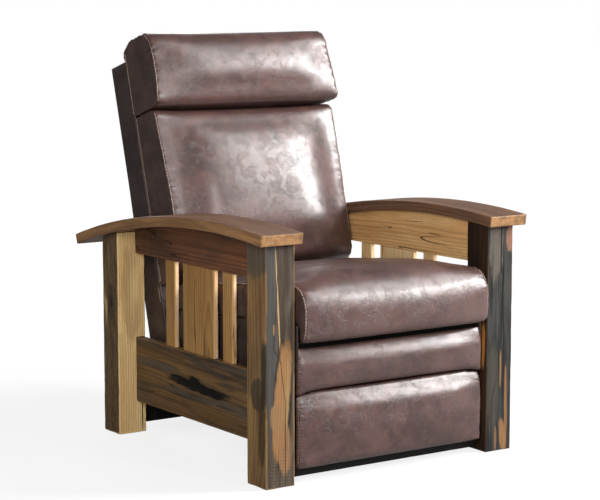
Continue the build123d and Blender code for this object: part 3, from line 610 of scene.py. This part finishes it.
for side, looks in side_looks.items():
    seed = looks["seed"]
    gap_front, gap_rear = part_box("front_post_" + side)[1].y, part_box("rear_post_" + side)[0].y

    def rail(place, made, low, high, **settings):
        """A side rail, as long as the gap between the posts and its tenons' first millimetre."""
        low, high = Vector((low.x, gap_front - TENON, low.z)), Vector((high.x, gap_rear + TENON, high.z))
        board(
            place + "_rail_" + side, made, "rail_wood", place + "_side_rail_" + side, (low, high), erosion=0.0026,
            dents=0.0008, **settings,
        )

    low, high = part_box("lower_side_rail_" + side)
    made = wood(
        "lower_rail_wood_" + side, "Y", seed, (142, 106, 66), (100, 76, 50), (58, 44, 32),
        skin=((looks["sign"], 0, 0),), skin_tones=((104, 90, 74), (74, 64, 52), (44, 37, 30)), skin_share=0.52,
        streaks=0.6, blotch=4.0, box=(low, high), cracks=0.3, centre=((low.z + high.z) / 2, low.x),
        patches=looks["rail_patches"],
    )
    rail("lower", made, low, high, seed=seed)
    low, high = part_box("upper_side_rail_" + side)
    made = wood(
        "upper_rail_wood_" + side, "Y", seed + 1.1, *looks["rail"], streaks=0.4, box=(low, high),
        centre=((low.z + high.z) / 2, low.x), cracks=0.4,
    )
    rail("upper", made, low, high, seed=seed + 1, warp=to_arm)
    low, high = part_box("wide_slat_" + side)
    made = wood(
        "wide_slat_wood_" + side, "Z", seed + 2.3, *looks["slat"], streaks=0.2, box=(low, high), cracks=0.2,
        centre=(low.x, (low.y + high.y) / 2), patches=looks["slat_patches"], **fresh_edge_painted_light,
    )
    board("wide_slat_" + side + "_board", made, "slat_wood", "wide_slat_" + side, seed=seed + 2, dents=0.0005)
    low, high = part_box("narrow_slats_" + side)
    for place, start in (("front", low.y), ("rear", high.y - NARROW_SLAT)):
        box = (Vector((low.x, start, low.z)), Vector((high.x, start + NARROW_SLAT, high.z)))
        made = wood(
            "narrow_slat_wood_" + place + "_" + side, "Z", seed + start * 5, *looks["slat"], streaks=0.3, box=box,
            centre=(box[0].x, (box[0].y + box[1].y) / 2), **fresh_edge_painted_light,
        )
        board(
            "narrow_slat_" + place + "_" + side, made, "slat_wood", "narrow_slats_" + side, box,
            seed=seed + start, dents=0.0005,
        )

# Black paint: the base boards' own colour, and painted shade on the frame members listed below.
black_paint_and_shade = painted_board("black_paint_and_painted_shade")
for name in ("front_base_board", "rear_base_board"):
    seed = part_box(name)[0].y
    board(name + "_painted", black_paint_and_shade, "black_board", name, erosion=0.001, dents=0.0004, seed=seed)

# Carried CAD nodes: hidden wood, steel and webbing. Frame members that show in the dark gaps at the joints are painted
# black: painted shade
new_wood = ((214, 186, 140), (196, 164, 116), (150, 116, 74))
rail_end = -0.43 + SHIFT
# Black patches at the front ends of the seat side rails: painted shade in the gap under the seat.
painted_shade_ends = [((rail_end, 0.357, side * 0.279), (0.09, 0.08, 0.03), black, 0.0, 0.3, 1.0) for side in (-1, 1)]
frame_wood = wood("frame_wood", "X", 11.0, *new_wood, streaks=0.2, ring=0.004)
looks_of_nodes = [
    (woven("webbing_straps", "Y", (40, 38, 36), (70, 66, 60)), "seat_webbing"),
    (woven("webbing_back_straps", "Z", (40, 38, 36), (70, 66, 60)), "back_webbing"),
    (steel("blackened_steel", (40, 40, 42), (80, 78, 76), 0.42, 0.9),
     "base_plates front_swing_links rear_swing_links seat_plate_right seat_plate_left drive_links drive_tube "
     "lift_links control_links footrest_brackets back_brackets"),
    (steel("zinc_steel", (150, 150, 148), (190, 188, 182), 0.32),
     "base_bolts swing_lower_pins front_swing_pins rear_swing_pins seat_plate_screws seat_pivot_pins "
     "lift_pivot_pins bracket_pivot_pins control_pins footrest_screws back_bracket_bolts"),
    # Footrest board, seat rails, back rail and stiles in black paint: painted shade in the gaps where they show.
    (black_paint_and_shade, "footrest_board seat_front_rail seat_rear_rail back_bottom_rail back_stile_left back_stile_right"),
    (wood("seat_rail_wood", "Y", 12.0, *new_wood, streaks=0.2, ring=0.004, patches=painted_shade_ends),
     "seat_side_rail_left seat_side_rail_right"),
]
look_of = {name: look for look, names in looks_of_nodes for name in names.split()}
for name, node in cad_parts.items():
    if not node.hide_render:
        node.data.materials.clear()
        node.data.materials.append(look_of.get(name, frame_wood))


# Soft pieces
OUTLINE_POINTS, STATIONS = 150, 61


def run_along(path):
    """How far along the path each of its points lies."""
    return np.concatenate([[0], np.cumsum(np.linalg.norm(np.diff(path, axis=0), axis=1))])


def both_sides(half, path):
    """The path, given without its x, at the left side and at the right."""
    return [[(side * half, *place) for place in path] for side in (-1, 1)]


def rounded_outline(points, rounds, count=OUTLINE_POINTS):
    """A closed outline with rounded corners, as evenly spaced points."""
    dense = []
    for index, (corner, radius) in enumerate(zip(points, rounds)):
        before = Vector(points[index - 1]) - Vector(corner)
        after = Vector(points[(index + 1) % len(points)]) - Vector(corner)
        u, v = before.normalized(), after.normalized()
        half = u.angle(v) / 2
        reach = min(radius / math.tan(half), before.length * 0.49, after.length * 0.49)
        radius = reach * math.tan(half)
        centre = Vector(corner) + (u + v).normalized() * (radius / math.sin(half))
        a, b = Vector(corner) + u * reach - centre, Vector(corner) + v * reach - centre
        turn = math.atan2(a.x * b.y - a.y * b.x, a.dot(b))
        for step in range(9):
            angle = turn * step / 8
            c, s = math.cos(angle), math.sin(angle)
            dense.append(centre + Vector((a.x * c - a.y * s, a.x * s + a.y * c)))
    dense = np.array(dense)
    closed = np.vstack([dense, dense[:1]])
    run = run_along(closed)
    where = np.linspace(0, run[-1], count, endpoint=False)
    return np.stack([np.interp(where, run, closed[:, 0]), np.interp(where, run, closed[:, 1])], 1)


def lofted(half, outline_at, count=OUTLINE_POINTS, stations=STATIONS):
    """Points and faces of a closed form through side-view outlines from -half to half."""
    points = []
    for x in np.linspace(-half, half, stations):
        points += [(x, y, z) for y, z in outline_at(x / half)]
    faces = [tuple(range(count))[::-1], tuple(range((stations - 1) * count, stations * count))]
    for i in range(stations - 1):
        for j in range(count):
            k = (j + 1) % count
            faces.append((i * count + j, i * count + k, (i + 1) * count + k, (i + 1) * count + j))
    return points, faces


def crown(share, power):
    """1 in the middle of the width, falling to 0 at both sides."""
    return 1 - abs(share) ** power


def triples(collection, field):
    found = np.empty(len(collection) * 3, np.float32)
    collection.foreach_get(field, found)
    return found.reshape(-1, 3).astype(float)


def coordinates(mesh):
    return triples(mesh.vertices, "co")


def normals(mesh):
    return triples(mesh.vertex_normals, "vector")


def place_points(mesh, points):
    mesh.vertices.foreach_set("co", points.astype(np.float32).ravel())
    mesh.update()


def applied(made, kind, **settings):
    modifier = made.modifiers.new(kind.lower(), kind)
    assign(modifier, settings)
    graph = bpy.context.evaluated_depsgraph_get()
    mesh = bpy.data.meshes.new_from_object(made.evaluated_get(graph))
    made.modifiers.remove(modifier)
    old = made.data
    made.data = mesh
    bpy.data.meshes.remove(old)


def averaged(mesh, values, rounds):
    """Values at the points, each round averaged with those of the points next to them."""
    count = len(mesh.vertices)
    ends = np.empty(len(mesh.edges) * 2, np.int32)
    mesh.edges.foreach_get("vertices", ends)
    a, b = ends.reshape(-1, 2).T
    near = np.bincount(a, minlength=count) + np.bincount(b, minlength=count) + 1
    for _ in range(rounds):
        total = [np.bincount(a, values[b, k], count) + np.bincount(b, values[a, k], count) for k in range(3)]
        values = (values + np.stack(total, 1)) / near[:, None]
    return values


CLOTH = dict(
    quality=4, mass=0.3, tension_stiffness=12, compression_stiffness=12, shear_stiffness=5, bending_stiffness=0.6,
    use_pressure=True, uniform_pressure_force=4, vertex_group_mass="held",
)


def inflate(made, half, voxel, caps, held):
    """Swells the closed mesh as a cloth bag under pressure; caps holds how far it may go each way."""
    applied(made, "REMESH", mode="VOXEL", voxel_size=voxel)
    start = coordinates(made.data)
    even = averaged(made.data, start, 10)
    even = even + averaged(made.data, start - even, 10)
    inside = np.clip((half - 0.004 - np.abs(start[:, :1])) / 0.014, 0, 1)
    place_points(made.data, start + (even - start) * inside)
    start, facing = coordinates(made.data), normals(made.data)
    group = made.vertex_groups.new(name="held")
    weights = held(start)
    for value in (0.25, 0.5, 0.75, 1.0):
        chosen = np.nonzero((weights > value - 0.25) & (weights <= value))[0].tolist()
        if chosen:
            group.add(chosen, value, "REPLACE")
    cloth = made.modifiers.new("cloth", "CLOTH")
    assign(cloth.settings, CLOTH)
    cloth.settings.effector_weights.gravity = 0
    cloth.collision_settings.use_collision = False
    for number in range(1, 21):
        scene.frame_set(number)
    graph = bpy.context.evaluated_depsgraph_get()
    swollen = coordinates(made.evaluated_get(graph).data)
    made.modifiers.remove(cloth)
    scene.frame_set(1)
    made.vertex_groups.clear()
    most = sum(np.maximum(0, facing @ np.array(way)) * reach for way, reach in caps)
    moved = swollen - start
    length = np.linalg.norm(moved, axis=1) + 1e-9
    moved *= (most * np.tanh(length / (most + 1e-6)) / length)[:, None]
    broad = averaged(made.data, moved, 90)
    folds = averaged(made.data, moved, 3) - averaged(made.data, moved, 22)
    inside = 1 - np.minimum(1, np.abs(start[:, 0]) / half) ** 5
    place_points(made.data, start + (broad * inside[:, None] + FOLDS * folds) * (1 - weights)[:, None])
    applied(made, "SUBSURF", levels=1, render_levels=1)
    smoothed(made.data)


def pucker(made, paths, reach, depth, spacing):
    """Presses a groove along each seam and draws small gathers into it."""
    points, facing = coordinates(made.data), normals(made.data)
    move = np.zeros(len(points))
    for path in paths:
        path = np.array(path)
        low, high = path.min(0) - reach, path.max(0) + reach
        near = np.nonzero(np.all((points > low) & (points < high), axis=1))[0]
        run = run_along(path)
        best = np.full(len(near), 1e9)
        where = np.zeros(len(near))
        for i in range(len(path) - 1):
            a, d = path[i], path[i + 1] - path[i]
            t = np.clip(((points[near] - a) @ d) / max(d @ d, 1e-12), 0, 1)
            gap = np.linalg.norm(points[near] - (a + t[:, None] * d), axis=1)
            closer = gap < best
            best[closer], where[closer] = gap[closer], (run[i] + t * math.sqrt(d @ d))[closer]
        wave = np.array([
            noise.noise((w / spacing, 3.7, 1.9)) + 0.5 * noise.noise((w / spacing * 2.3, 8.1, 4.2)) for w in where
        ])
        groove = depth * np.exp(-(best / 0.0035) ** 2)
        gather = depth * 0.7 * wave * np.exp(-(best / (reach * 0.5)) ** 2)
        move[near] = np.maximum(move[near], groove) + gather
    place_points(made.data, points - facing * move[:, None])


def surface_path(made, path, step=0.004):
    """The path laid on the surface, in even steps, with the surface's normal at each point."""
    graph = bpy.context.evaluated_depsgraph_get()
    tree = BVHTree.FromObject(made, graph)
    path = np.array(path, float)
    run = run_along(path)
    where = np.linspace(0, run[-1], max(2, round(run[-1] / step)))
    even = np.stack([np.interp(where, run, path[:, a]) for a in range(3)], 1)
    found = []
    for p in even:
        place, normal, _, _ = tree.find_nearest(Vector(p))
        if place is not None:
            found.append((place, normal))
    return found


RING = 6  # sides of a stitch's thread


def stitches(name, made, paths, body, length=0.0075, gap=0.0012, radius=0.0012):
    """Rows of thread stitches laid along paths on a soft piece."""
    points, faces = [], []
    for path in paths:
        laid = surface_path(made, path, 0.001)
        run = run_along(np.array([p for p, _ in laid]))
        begin = gap
        while begin + length < run[-1]:
            ends = [int(np.searchsorted(run, begin + length * share)) for share in (0, 0.5, 1)]
            rings = []
            for order, at in enumerate(ends):
                place, normal = laid[min(at, len(laid) - 1)]
                ahead = laid[min(at + 2, len(laid) - 1)][0] - laid[max(at - 2, 0)][0]
                if ahead.length < 1e-9:
                    break
                ahead.normalize()
                aside = normal.cross(ahead).normalized()
                lift, size = (radius, radius) if order == 1 else (radius * 0.1, radius * 0.75)
                rings.append([
                    place + normal * (lift + size * math.sin(angle)) + aside * size * math.cos(angle)
                    for angle in (math.tau * k / RING for k in range(RING))
                ])
            if len(rings) == 3:
                base = len(points)
                for ring in rings:
                    points += ring
                for k in range(2 * RING):
                    a = base + k
                    b = a + 1 if (k + 1) % RING else a + 1 - RING
                    faces.append((a, b, b + RING, a + RING))
                faces.append(tuple(range(base, base + RING))[::-1])
                faces.append(tuple(range(base + 2 * RING, base + 3 * RING)))
            begin += length + gap
    add_object(name, points, faces, thread, body)


hide = leather("brown_leather")
# Darker copy of the leather for the side panels of the soft pieces: painted shade on the sides.
hide_side_painted_shade = leather("brown_leather_side_painted_shade", 6.4, (66, 50, 47), (86, 67, 62), (102, 76, 69), 0.8, 0.15, 0.4)
# Darker copy of the leather for the back shell, seat skirts and back edge strips: painted shade.
hide_painted_shade = leather("brown_leather_shell_painted_shade", 3.1, (54, 43, 40), (72, 58, 55), (85, 66, 60), 0.5, 0.08, 0.35)
thread = sewing_thread("seam_thread")


def caps(forward, up, down, aside, lean=Matrix()):
    """Directions in which a piece swells, with how far it may go."""
    ways = ((0, -1, 0), (0, 0, 1), (0, 0, -1), (1, 0, 0), (-1, 0, 0))
    return [(tuple(lean.to_3x3() @ Vector(way)), reach) for way, reach in zip(ways, (forward, up, down, aside, aside))]


def soft_piece(node, half, outline_at, body, voxel, reaches, held, lean=Matrix()):
    """A swollen leather piece that stands for the CAD node of that name."""
    points, faces = lofted(half, outline_at)
    points = [lean @ Vector(p) for p in points]
    made = add_object(node + "_leather", points, faces, hide, body, [node])
    inflate(made, half, voxel, caps(*reaches, lean), held)
    made.data.materials.clear()
    made.data.materials.append(hide)
    made.data.materials.append(hide_side_painted_shade)
    # Side panels take the darker leather: painted shade.
    for polygon in made.data.polygons:
        if abs(polygon.normal.x) > 0.72 and abs(polygon.center.x) > half - 0.016:
            polygon.material_index = 1
    return made


# Seat cushion: y forward is negative, measured from the middle of the posts and then shifted
def seat_floor(y):
    return 0.4025 - (y - SEAT_FRONT_Y) * math.tan(SEAT_TILT)


def seat_outline(share):
    swell = crown(share, 5.0)
    front, top = -0.439 - 0.012 * SWELL * swell, 0.508 + 0.012 * SWELL * swell
    rear_top = top - 0.0657
    rear = SEAT_REAR_Y + 0.0124
    points = [
        (front + 0.004, 0.358), (front, top), (rear - 0.062, rear_top), (rear, rear_top - 0.044),
        (rear, seat_floor(rear)), (-0.4056, seat_floor(-0.4056)), (-0.4056, 0.3595),
    ]
    rounds = [0.012 + 0.014 * swell, 0.068, 0.034, 0.014, 0.004, 0.004, 0.006]
    outline = rounded_outline(points, rounds)
    outline[:, 0] += SHIFT
    return outline


def held_seat(points):
    y, z = points[:, 1] - SHIFT, points[:, 2]
    return np.where((np.abs(z - seat_floor(y)) < 0.008) & (y > -0.41) | (z < 0.366), 1.0, 0.0)


seat = soft_piece(
    "seat_cushion", SEAT_HALF - 0.003, seat_outline, "seat", 0.006, (0.022, 0.024, 0.0, 0.003), held_seat,
)
seat_seam = both_sides(SEAT_HALF - 0.001, [(y + SHIFT, z) for y, z in (
    (-0.430, 0.366), (-0.4385, 0.40), (-0.4385, 0.44), (-0.430, 0.473), (-0.412, 0.495), (-0.385, 0.504),
    (-0.33, 0.499), (-0.1, 0.482), (SEAT_REAR_Y - 0.06, 0.4475),
)])
pucker(seat, seat_seam, 0.034, 0.0028, 0.011)
stitches("seat_cushion_stitching", seat, seat_seam, "seat")


# Leather curtains down both sides of the seat frame, in the darker leather that paints shade, and a black flap behind
# the upper pad that paints the shade in the gap
def curtain(name, low, high, axis, thickness, material, body, ripple=0.0009, rows=26, columns=60):
    """A thin hanging panel: low and high are its corners, axis the direction across it."""
    low, high = Vector(low), Vector(high)
    long_axis, middle = 1 - axis, (low[axis] + high[axis]) / 2
    points, faces = [], []
    for face in (0, 1):
        for i in range(columns + 1):
            for j in range(rows + 1):
                p = Vector((0, 0, 0))
                p[long_axis] = low[long_axis] + (high[long_axis] - low[long_axis]) * i / columns
                p[2] = low[2] + (high[2] - low[2]) * j / rows
                wave = ripple * noise.noise((p[long_axis] * 16, p[2] * 5, face * 0.2 + 3.3 + axis))
                edge = min(1.0, 6.0 * min(i, columns - i) / columns) * min(1.0, 6.0 * min(j, rows - j) / rows)
                p[axis] = middle + wave * edge + (face - 0.5) * thickness * (0.5 + 0.5 * edge)
                points.append(p)
    step, half = rows + 1, (rows + 1) * (columns + 1)
    for i in range(columns):
        for j in range(rows):
            a = i * step + j
            quad = (a, a + step, a + step + 1, a + 1)
            faces += [quad, tuple(v + half for v in quad[::-1])]
    rim = [i * step for i in range(columns + 1)] + [columns * step + j for j in range(1, step)]
    rim += [i * step + rows for i in range(columns - 1, -1, -1)] + list(range(rows - 1, 0, -1))
    for a, b in zip(rim, rim[1:] + rim[:1]):
        faces.append((a, b, b + half, a + half)[::-1])
    made = add_object(name, points, faces, material, body)
    if sum(face.normal[axis] * (1 if i % 2 else -1) for i, face in enumerate(made.data.polygons[:200])) < 0:
        made.data.flip_normals()
    return made


SKIRT_FOOT, SKIRT_TOP = 0.262, 0.40
for side, word in ((-1, "left"), (1, "right")):
    low_x, high_x = sorted((side * 0.2908, side * 0.2952))
    # The skirts take the darker leather: painted shade.
    seat_skirt = curtain(
        "seat_skirt_" + word, (low_x, -0.4035 + SHIFT, SKIRT_FOOT), (high_x, SEAT_REAR_Y + 0.010 + SHIFT, SKIRT_TOP),
        0, 0.0032, hide_painted_shade, "seat",
    )
    for vertex in seat_skirt.data.vertices:
        share = (vertex.co.z - SKIRT_FOOT) / (SKIRT_TOP - SKIRT_FOOT)
        vertex.co.z = SKIRT_FOOT + share * (seat_floor(vertex.co.y - SHIFT) - 0.0008 - SKIRT_FOOT)
# Black cloth for the lining behind the pads: painted shade in the gap between them.
shade_lining_fabric = woven("black_lining_painted_shade", "Z", (15, 14, 14), (24, 23, 23), 0.0012, 0.0)

# Footrest pads: the lower edge of the upper one follows the upper edge of the lower one
def pad_outline(bottom, top, low_drop, high_drop):
    def outline_at(share):
        swell = crown(share, 5.0)
        ends = abs(share) ** 10
        front = -0.4090 - 0.0085 * SWELL * swell
        low, high = bottom - low_drop * ends, top - high_drop * ends
        points = [(-0.3908, low), (front, low), (front - 0.001, high - 0.046), (-0.3985, high), (-0.3908, high)]
        outline = rounded_outline(points, [0.002, 0.020, 0.055, 0.006, 0.002])
        outline[:, 0] += SHIFT
        return outline
    return outline_at


def held_pad(points):
    return np.where(points[:, 1] - SHIFT > -0.394, 1.0, 0.0)


pad_sizes = {"lower": (0.0350, 0.2330, -0.002, 0.012), "upper": (0.2342, 0.3445, 0.012, -0.001)}
for name, (bottom, top, low_drop, high_drop) in pad_sizes.items():
    node = name + "_footrest_pad"
    pad = soft_piece(
        node, PAD_HALF, pad_outline(bottom, top, low_drop, high_drop), "footrest", 0.005,
        (0.016, 0.0008, 0.0008, 0.001), held_pad,
    )
    ends = both_sides(PAD_HALF, [
        (-0.405 + SHIFT, bottom + 0.014), (-0.409 + SHIFT, (bottom + top) / 2), (-0.402 + SHIFT, top - 0.020),
    ])
    pucker(pad, ends, 0.030, 0.0020, 0.009)
    stitches(node + "_stitching", pad, ends, "footrest", 0.004, 0.004, 0.0008)
# Black lining behind the pads: painted shade in the gap between them and at their ends.
curtain(
    "footrest_painted_shade_lining", (-0.2955, -0.3907 + SHIFT, 0.046), (0.2955, -0.3901 + SHIFT, 0.3520), 1, 0.0005, shade_lining_fabric,
    "footrest", 0.0,
)

# The back, worked out upright and then leaned: x, minus the depth forward, height
LEAN = Matrix.Translation(BACK_FOOT) @ Matrix.Rotation(-BACK_LEAN, 4, "X")


def leaned(paths):
    return [[tuple(LEAN @ Vector((x, -d, h))) for x, d, h in path] for path in paths]


def cushion_outline(share):
    swell = crown(share, 4.0) * 0.018 * SWELL
    points = [
        (-0.1005, 0.1175), (-0.228 - swell, 0.148), (-0.230 - swell, 0.36), (-0.212 - swell, 0.597), (-0.1005, 0.597),
    ]
    return rounded_outline(points, [0.005, 0.03, 0.2, 0.026 + 0.3 * swell, 0.003])


def upright(points):
    inverse = np.array(LEAN.inverted())
    return points @ inverse[:3, :3].T + inverse[:3, 3]


def flared(points, half, start, end, outward, forward):
    """Points of the upright back whose front side corners reach out and forward, from height start to end."""
    points = np.array(points, float)
    along = np.clip((points[:, 2] - start) / (end - start), 0, 1)
    ahead = np.clip((-points[:, 1] - 0.12) / 0.11, 0, 1)
    aside = np.clip(np.abs(points[:, 0]) / half, 0, 1)
    points[:, 0] += np.sign(points[:, 0]) * outward * along * ahead * aside ** 6
    points[:, 1] -= forward * along * ahead * aside ** 8
    return points


def flare_piece(made, *how):
    points = flared(upright(coordinates(made.data)), *how)
    matrix = np.array(LEAN)
    place_points(made.data, points @ matrix[:3, :3].T + matrix[:3, 3])


CUSHION_EARS = (BACK_HALF, 0.33, 0.592, 0.011, 0.016)
PILLOW_EARS = (PILLOW_HALF, 0.72, 0.603, 0.008, 0.011)


def along_flare(paths, how):
    found = []
    for path in paths:
        moved = flared([(x, -d, h) for x, d, h in path], *how)
        found.append([(x, -y, h) for x, y, h in moved])
    return found


def held_back(points):
    return np.where(upright(points)[:, 1] > -0.104, 1.0, 0.0)


cushion = soft_piece(
    "back_cushion", BACK_HALF - 0.003, cushion_outline, "back", 0.006, (0.026, 0.003, 0.003, 0.003), held_back,
    LEAN,
)


def pillow_outline(share):
    swell = crown(share, 7.0) * 0.006 * SWELL
    drop = 0.002 + 0.0025 * (1 - crown(share, 12.0))
    points = [
        (-0.1005, 0.599), (-0.250 - swell, 0.599), (-0.258 - swell, 0.68), (-0.252 - swell, 0.814 - drop),
        (-0.14, 0.814 - drop), (-0.0925, 0.788 - drop / 2), (-0.0925, 0.7592), (-0.1005, 0.7592),
    ]
    rounds = [0.003, 0.018 + swell, 0.08, 0.046, 0.05, 0.012, 0.002, 0.002]
    return rounded_outline(points, rounds)


pillow = soft_piece(
    "head_pillow", PILLOW_HALF - 0.003, pillow_outline, "back", 0.006, (0.014, 0.004, 0.002, 0.004), held_back,
    LEAN,
)

flare_piece(cushion, *CUSHION_EARS)
flare_piece(pillow, *PILLOW_EARS)
cushion_front = both_sides(BACK_HALF - 0.001, [
    (0.222, 0.16), (0.230, 0.25), (0.232, 0.345), (0.228, 0.40), (0.222, 0.45), (0.217, 0.507), (0.213, 0.56),
    (0.210, 0.592),
])
pillow_front = both_sides(PILLOW_HALF - 0.001, [
    (0.248, 0.606), (0.254, 0.644), (0.258, 0.688), (0.255, 0.735), (0.245, 0.775), (0.228, 0.80), (0.205, 0.811),
])
cushion_front = along_flare(cushion_front, CUSHION_EARS)
pillow_front = along_flare(pillow_front, PILLOW_EARS)
pucker(cushion, leaned(cushion_front), 0.030, 0.0024, 0.013)
pucker(pillow, leaned(pillow_front), 0.030, 0.0024, 0.012)


rear_rows = [both_sides(half, [(0.107, low), (0.107, high)]) for half, low, high in (
    (BACK_HALF, 0.13, 0.592), (PILLOW_HALF, 0.604, 0.785),
)]
stitches("back_cushion_stitching", cushion, leaned(cushion_front + rear_rows[0]), "back")
stitches("head_pillow_stitching", pillow, leaned(pillow_front + rear_rows[1]), "back")


# Leather shell round the back frame, open to the front
HEM = -0.045


def back_shell():
    """Rear and side leather round the back frame, with a hem that hangs below the frame."""
    half, depth, height, wall = BACK_HALF, 0.1035, 0.758, 0.0055
    side_points, corner_points, rear_points = 7, 8, 27

    def section(corner):
        outer = [(-half, -depth + (depth - corner) * i / side_points) for i in range(side_points)]
        outer += [
            (-half + corner - corner * math.cos(angle), -corner + corner * math.sin(angle))
            for angle in np.linspace(0, math.pi / 2, corner_points)
        ]
        outer += [(x, 0.0) for x in np.linspace(-half + corner, half - corner, rear_points + 2)[1:-1]]
        return outer + [(-x, y) for x, y in outer[side_points + corner_points - 1::-1]]

    rows = np.linspace(HEM, height, 64)
    points = []
    for h in rows:
        outer = section(0.006 + 0.014 * min(1.0, max(0.0, h / 0.42)))
        puff = 0.0035 * (1 - (2 * max(h, 0.0) / height - 1) ** 8)
        fold = 0.0022 * math.exp(-((h - 0.592) / 0.005) ** 2)
        for x, y in outer:
            rear = 1.0 if y > -0.004 else 0.0
            side = 1.0 if abs(x) > half - 0.001 else 0.0
            ripple = 0.0006 * noise.noise((x * 9, y * 20, h * 9))
            inward = fold * side + max(0.0, ripple)
            points.append((x - math.copysign(inward * side, x), y - rear * (0.0035 - puff + max(0.0, ripple)), h))
    width = len(outer)
    faces = []
    for i in range(len(rows) - 1):
        for j in range(width - 1):
            faces.append((i * width + j, i * width + j + 1, (i + 1) * width + j + 1, (i + 1) * width + j))
    top = (len(rows) - 1) * width
    left, right = list(range(width // 2)), list(range(width - 1, width - 1 - width // 2, -1))
    for a in range(len(left) - 1):
        faces.append((top + left[a], top + left[a + 1], top + right[a + 1], top + right[a]))
    faces.append((top + left[-1], top + width // 2, top + right[-1]))
    points = [LEAN @ Vector(p) for p in points]
    # The shell takes the darker leather: painted shade.
    made = add_object("back_shell_leather", points, faces, hide_painted_shade, "back", ["back_cover"])
    applied(made, "SOLIDIFY", thickness=wall, offset=1.0, use_even_offset=True)
    smoothed(made.data)
    return made


shell = back_shell()
for side, word in ((-1, "left"), (1, "right")):
    low_x, high_x = sorted((side * 0.2668, side * 0.2915))
    # The edge strips take the darker leather: painted shade.
    edge_strip = curtain(
        "back_edge_" + word, (low_x, -0.1022, HEM), (high_x, -0.1002, 0.128), 1, 0.0014, hide_painted_shade, "back",
        0.0, rows=20, columns=4,
    )
    edge_strip.data.transform(LEAN)
stitches("back_shell_stitching", shell, leaned(both_sides(BACK_HALF, [(0.095, 0.075), (0.095, 0.12)])), "back")


# Floor, lights and camera
def stage_material(name):
    """Pale floor that keeps a soft shadow round the chair and is evenly white farther out."""
    g = Graph(name)
    distance = g.value("ShaderNodeVectorMath", {0: g.place()}, "Value", operation="LENGTH")
    seen = g.value("ShaderNodeLightPath", output="Is Camera Ray")
    shown = g.value("ShaderNodeBsdfDiffuse", {0: (0.86, 0.86, 0.86, 1)})
    bounced = g.value("ShaderNodeBsdfDiffuse", {0: (0.34, 0.34, 0.34, 1)})
    glow = g.value("ShaderNodeEmission", {0: (1, 1, 1, 1), 1: 1.02})
    bright = g.value("ShaderNodeMixShader", {0: g.step(distance, 0.8, 2.2, 0.8, 1.0), 1: shown, 2: glow})
    g.put(g.output.inputs[0], g.value("ShaderNodeMixShader", {0: seen, 1: bounced, 2: bright}))
    return g.material


floor_mesh = bpy.data.meshes.new("floor")
floor_mesh.from_pydata([(-30, -30, 0), (30, -30, 0), (30, 30, 0), (-30, 30, 0)], [], [(0, 1, 2, 3)])
floor_mesh.materials.append(stage_material("floor_white"))
floor = bpy.data.objects.new("floor", floor_mesh)
scene.collection.objects.link(floor)
floor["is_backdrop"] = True

world = bpy.data.worlds.new("studio")
scene.world = world
world.use_nodes = True
nodes, links = world.node_tree.nodes, world.node_tree.links
nodes.clear()
choice = nodes.new("ShaderNodeMixShader")
for socket, strength in ((1, 0.17), (2, 1.0)):  # ambient light, and the white that the camera sees
    background = nodes.new("ShaderNodeBackground")
    background.inputs[0].default_value = (1, 1, 1, 1)
    background.inputs[1].default_value = strength
    links.new(background.outputs[0], choice.inputs[socket])
links.new(nodes.new("ShaderNodeLightPath").outputs["Is Camera Ray"], choice.inputs[0])
links.new(choice.outputs[0], nodes.new("ShaderNodeOutputWorld").inputs[0])

AIM = Vector((0, 0, 0.55))
softboxes = [
    ("key", (3.0, -2.2, 2.25), 0.9, 1.9, 225),
    ("front", (0.6, -4.1, 2.1), 0.35, 1.5, 38),
    ("strip", (-2.5, -2.85, 1.63), 0.5, 1.8, 78),
    ("top", (2.3, -1.5, 3.3), 1.6, 1.6, 58),
    ("rear", (0.9, 3.4, 2.4), 2.0, 1.5, 45),
]
for name, place, width, height, power in softboxes:
    light = bpy.data.lights.new(name, "AREA")
    light.shape = "RECTANGLE"
    light.size, light.size_y = width, height
    light.energy = power
    lamp = bpy.data.objects.new(name, light)
    lamp.location = place
    lamp.rotation_mode = "QUATERNION"
    lamp.rotation_quaternion = (AIM - Vector(place)).to_track_quat("-Z", "Y")
    scene.collection.objects.link(lamp)

camera_data = bpy.data.cameras.new("camera")
camera_data.sensor_width = 36.0
camera_data.lens = 114.087
camera = bpy.data.objects.new("camera", camera_data)
turn, pitch = math.radians(-34.53), math.radians(7.47)
backward = Vector((math.sin(turn) * math.cos(pitch), -math.cos(turn) * math.cos(pitch), math.sin(pitch)))
camera.location = (-2.91739, -4.22610 + SHIFT, 1.19872)
camera.rotation_mode = "QUATERNION"
camera.rotation_quaternion = (-backward).to_track_quat("-Z", "Y")
camera_data.clip_start, camera_data.clip_end = 0.1, 100
scene.collection.objects.link(camera)
scene.camera = camera

scene.view_settings.view_transform = "Standard"

low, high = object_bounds()
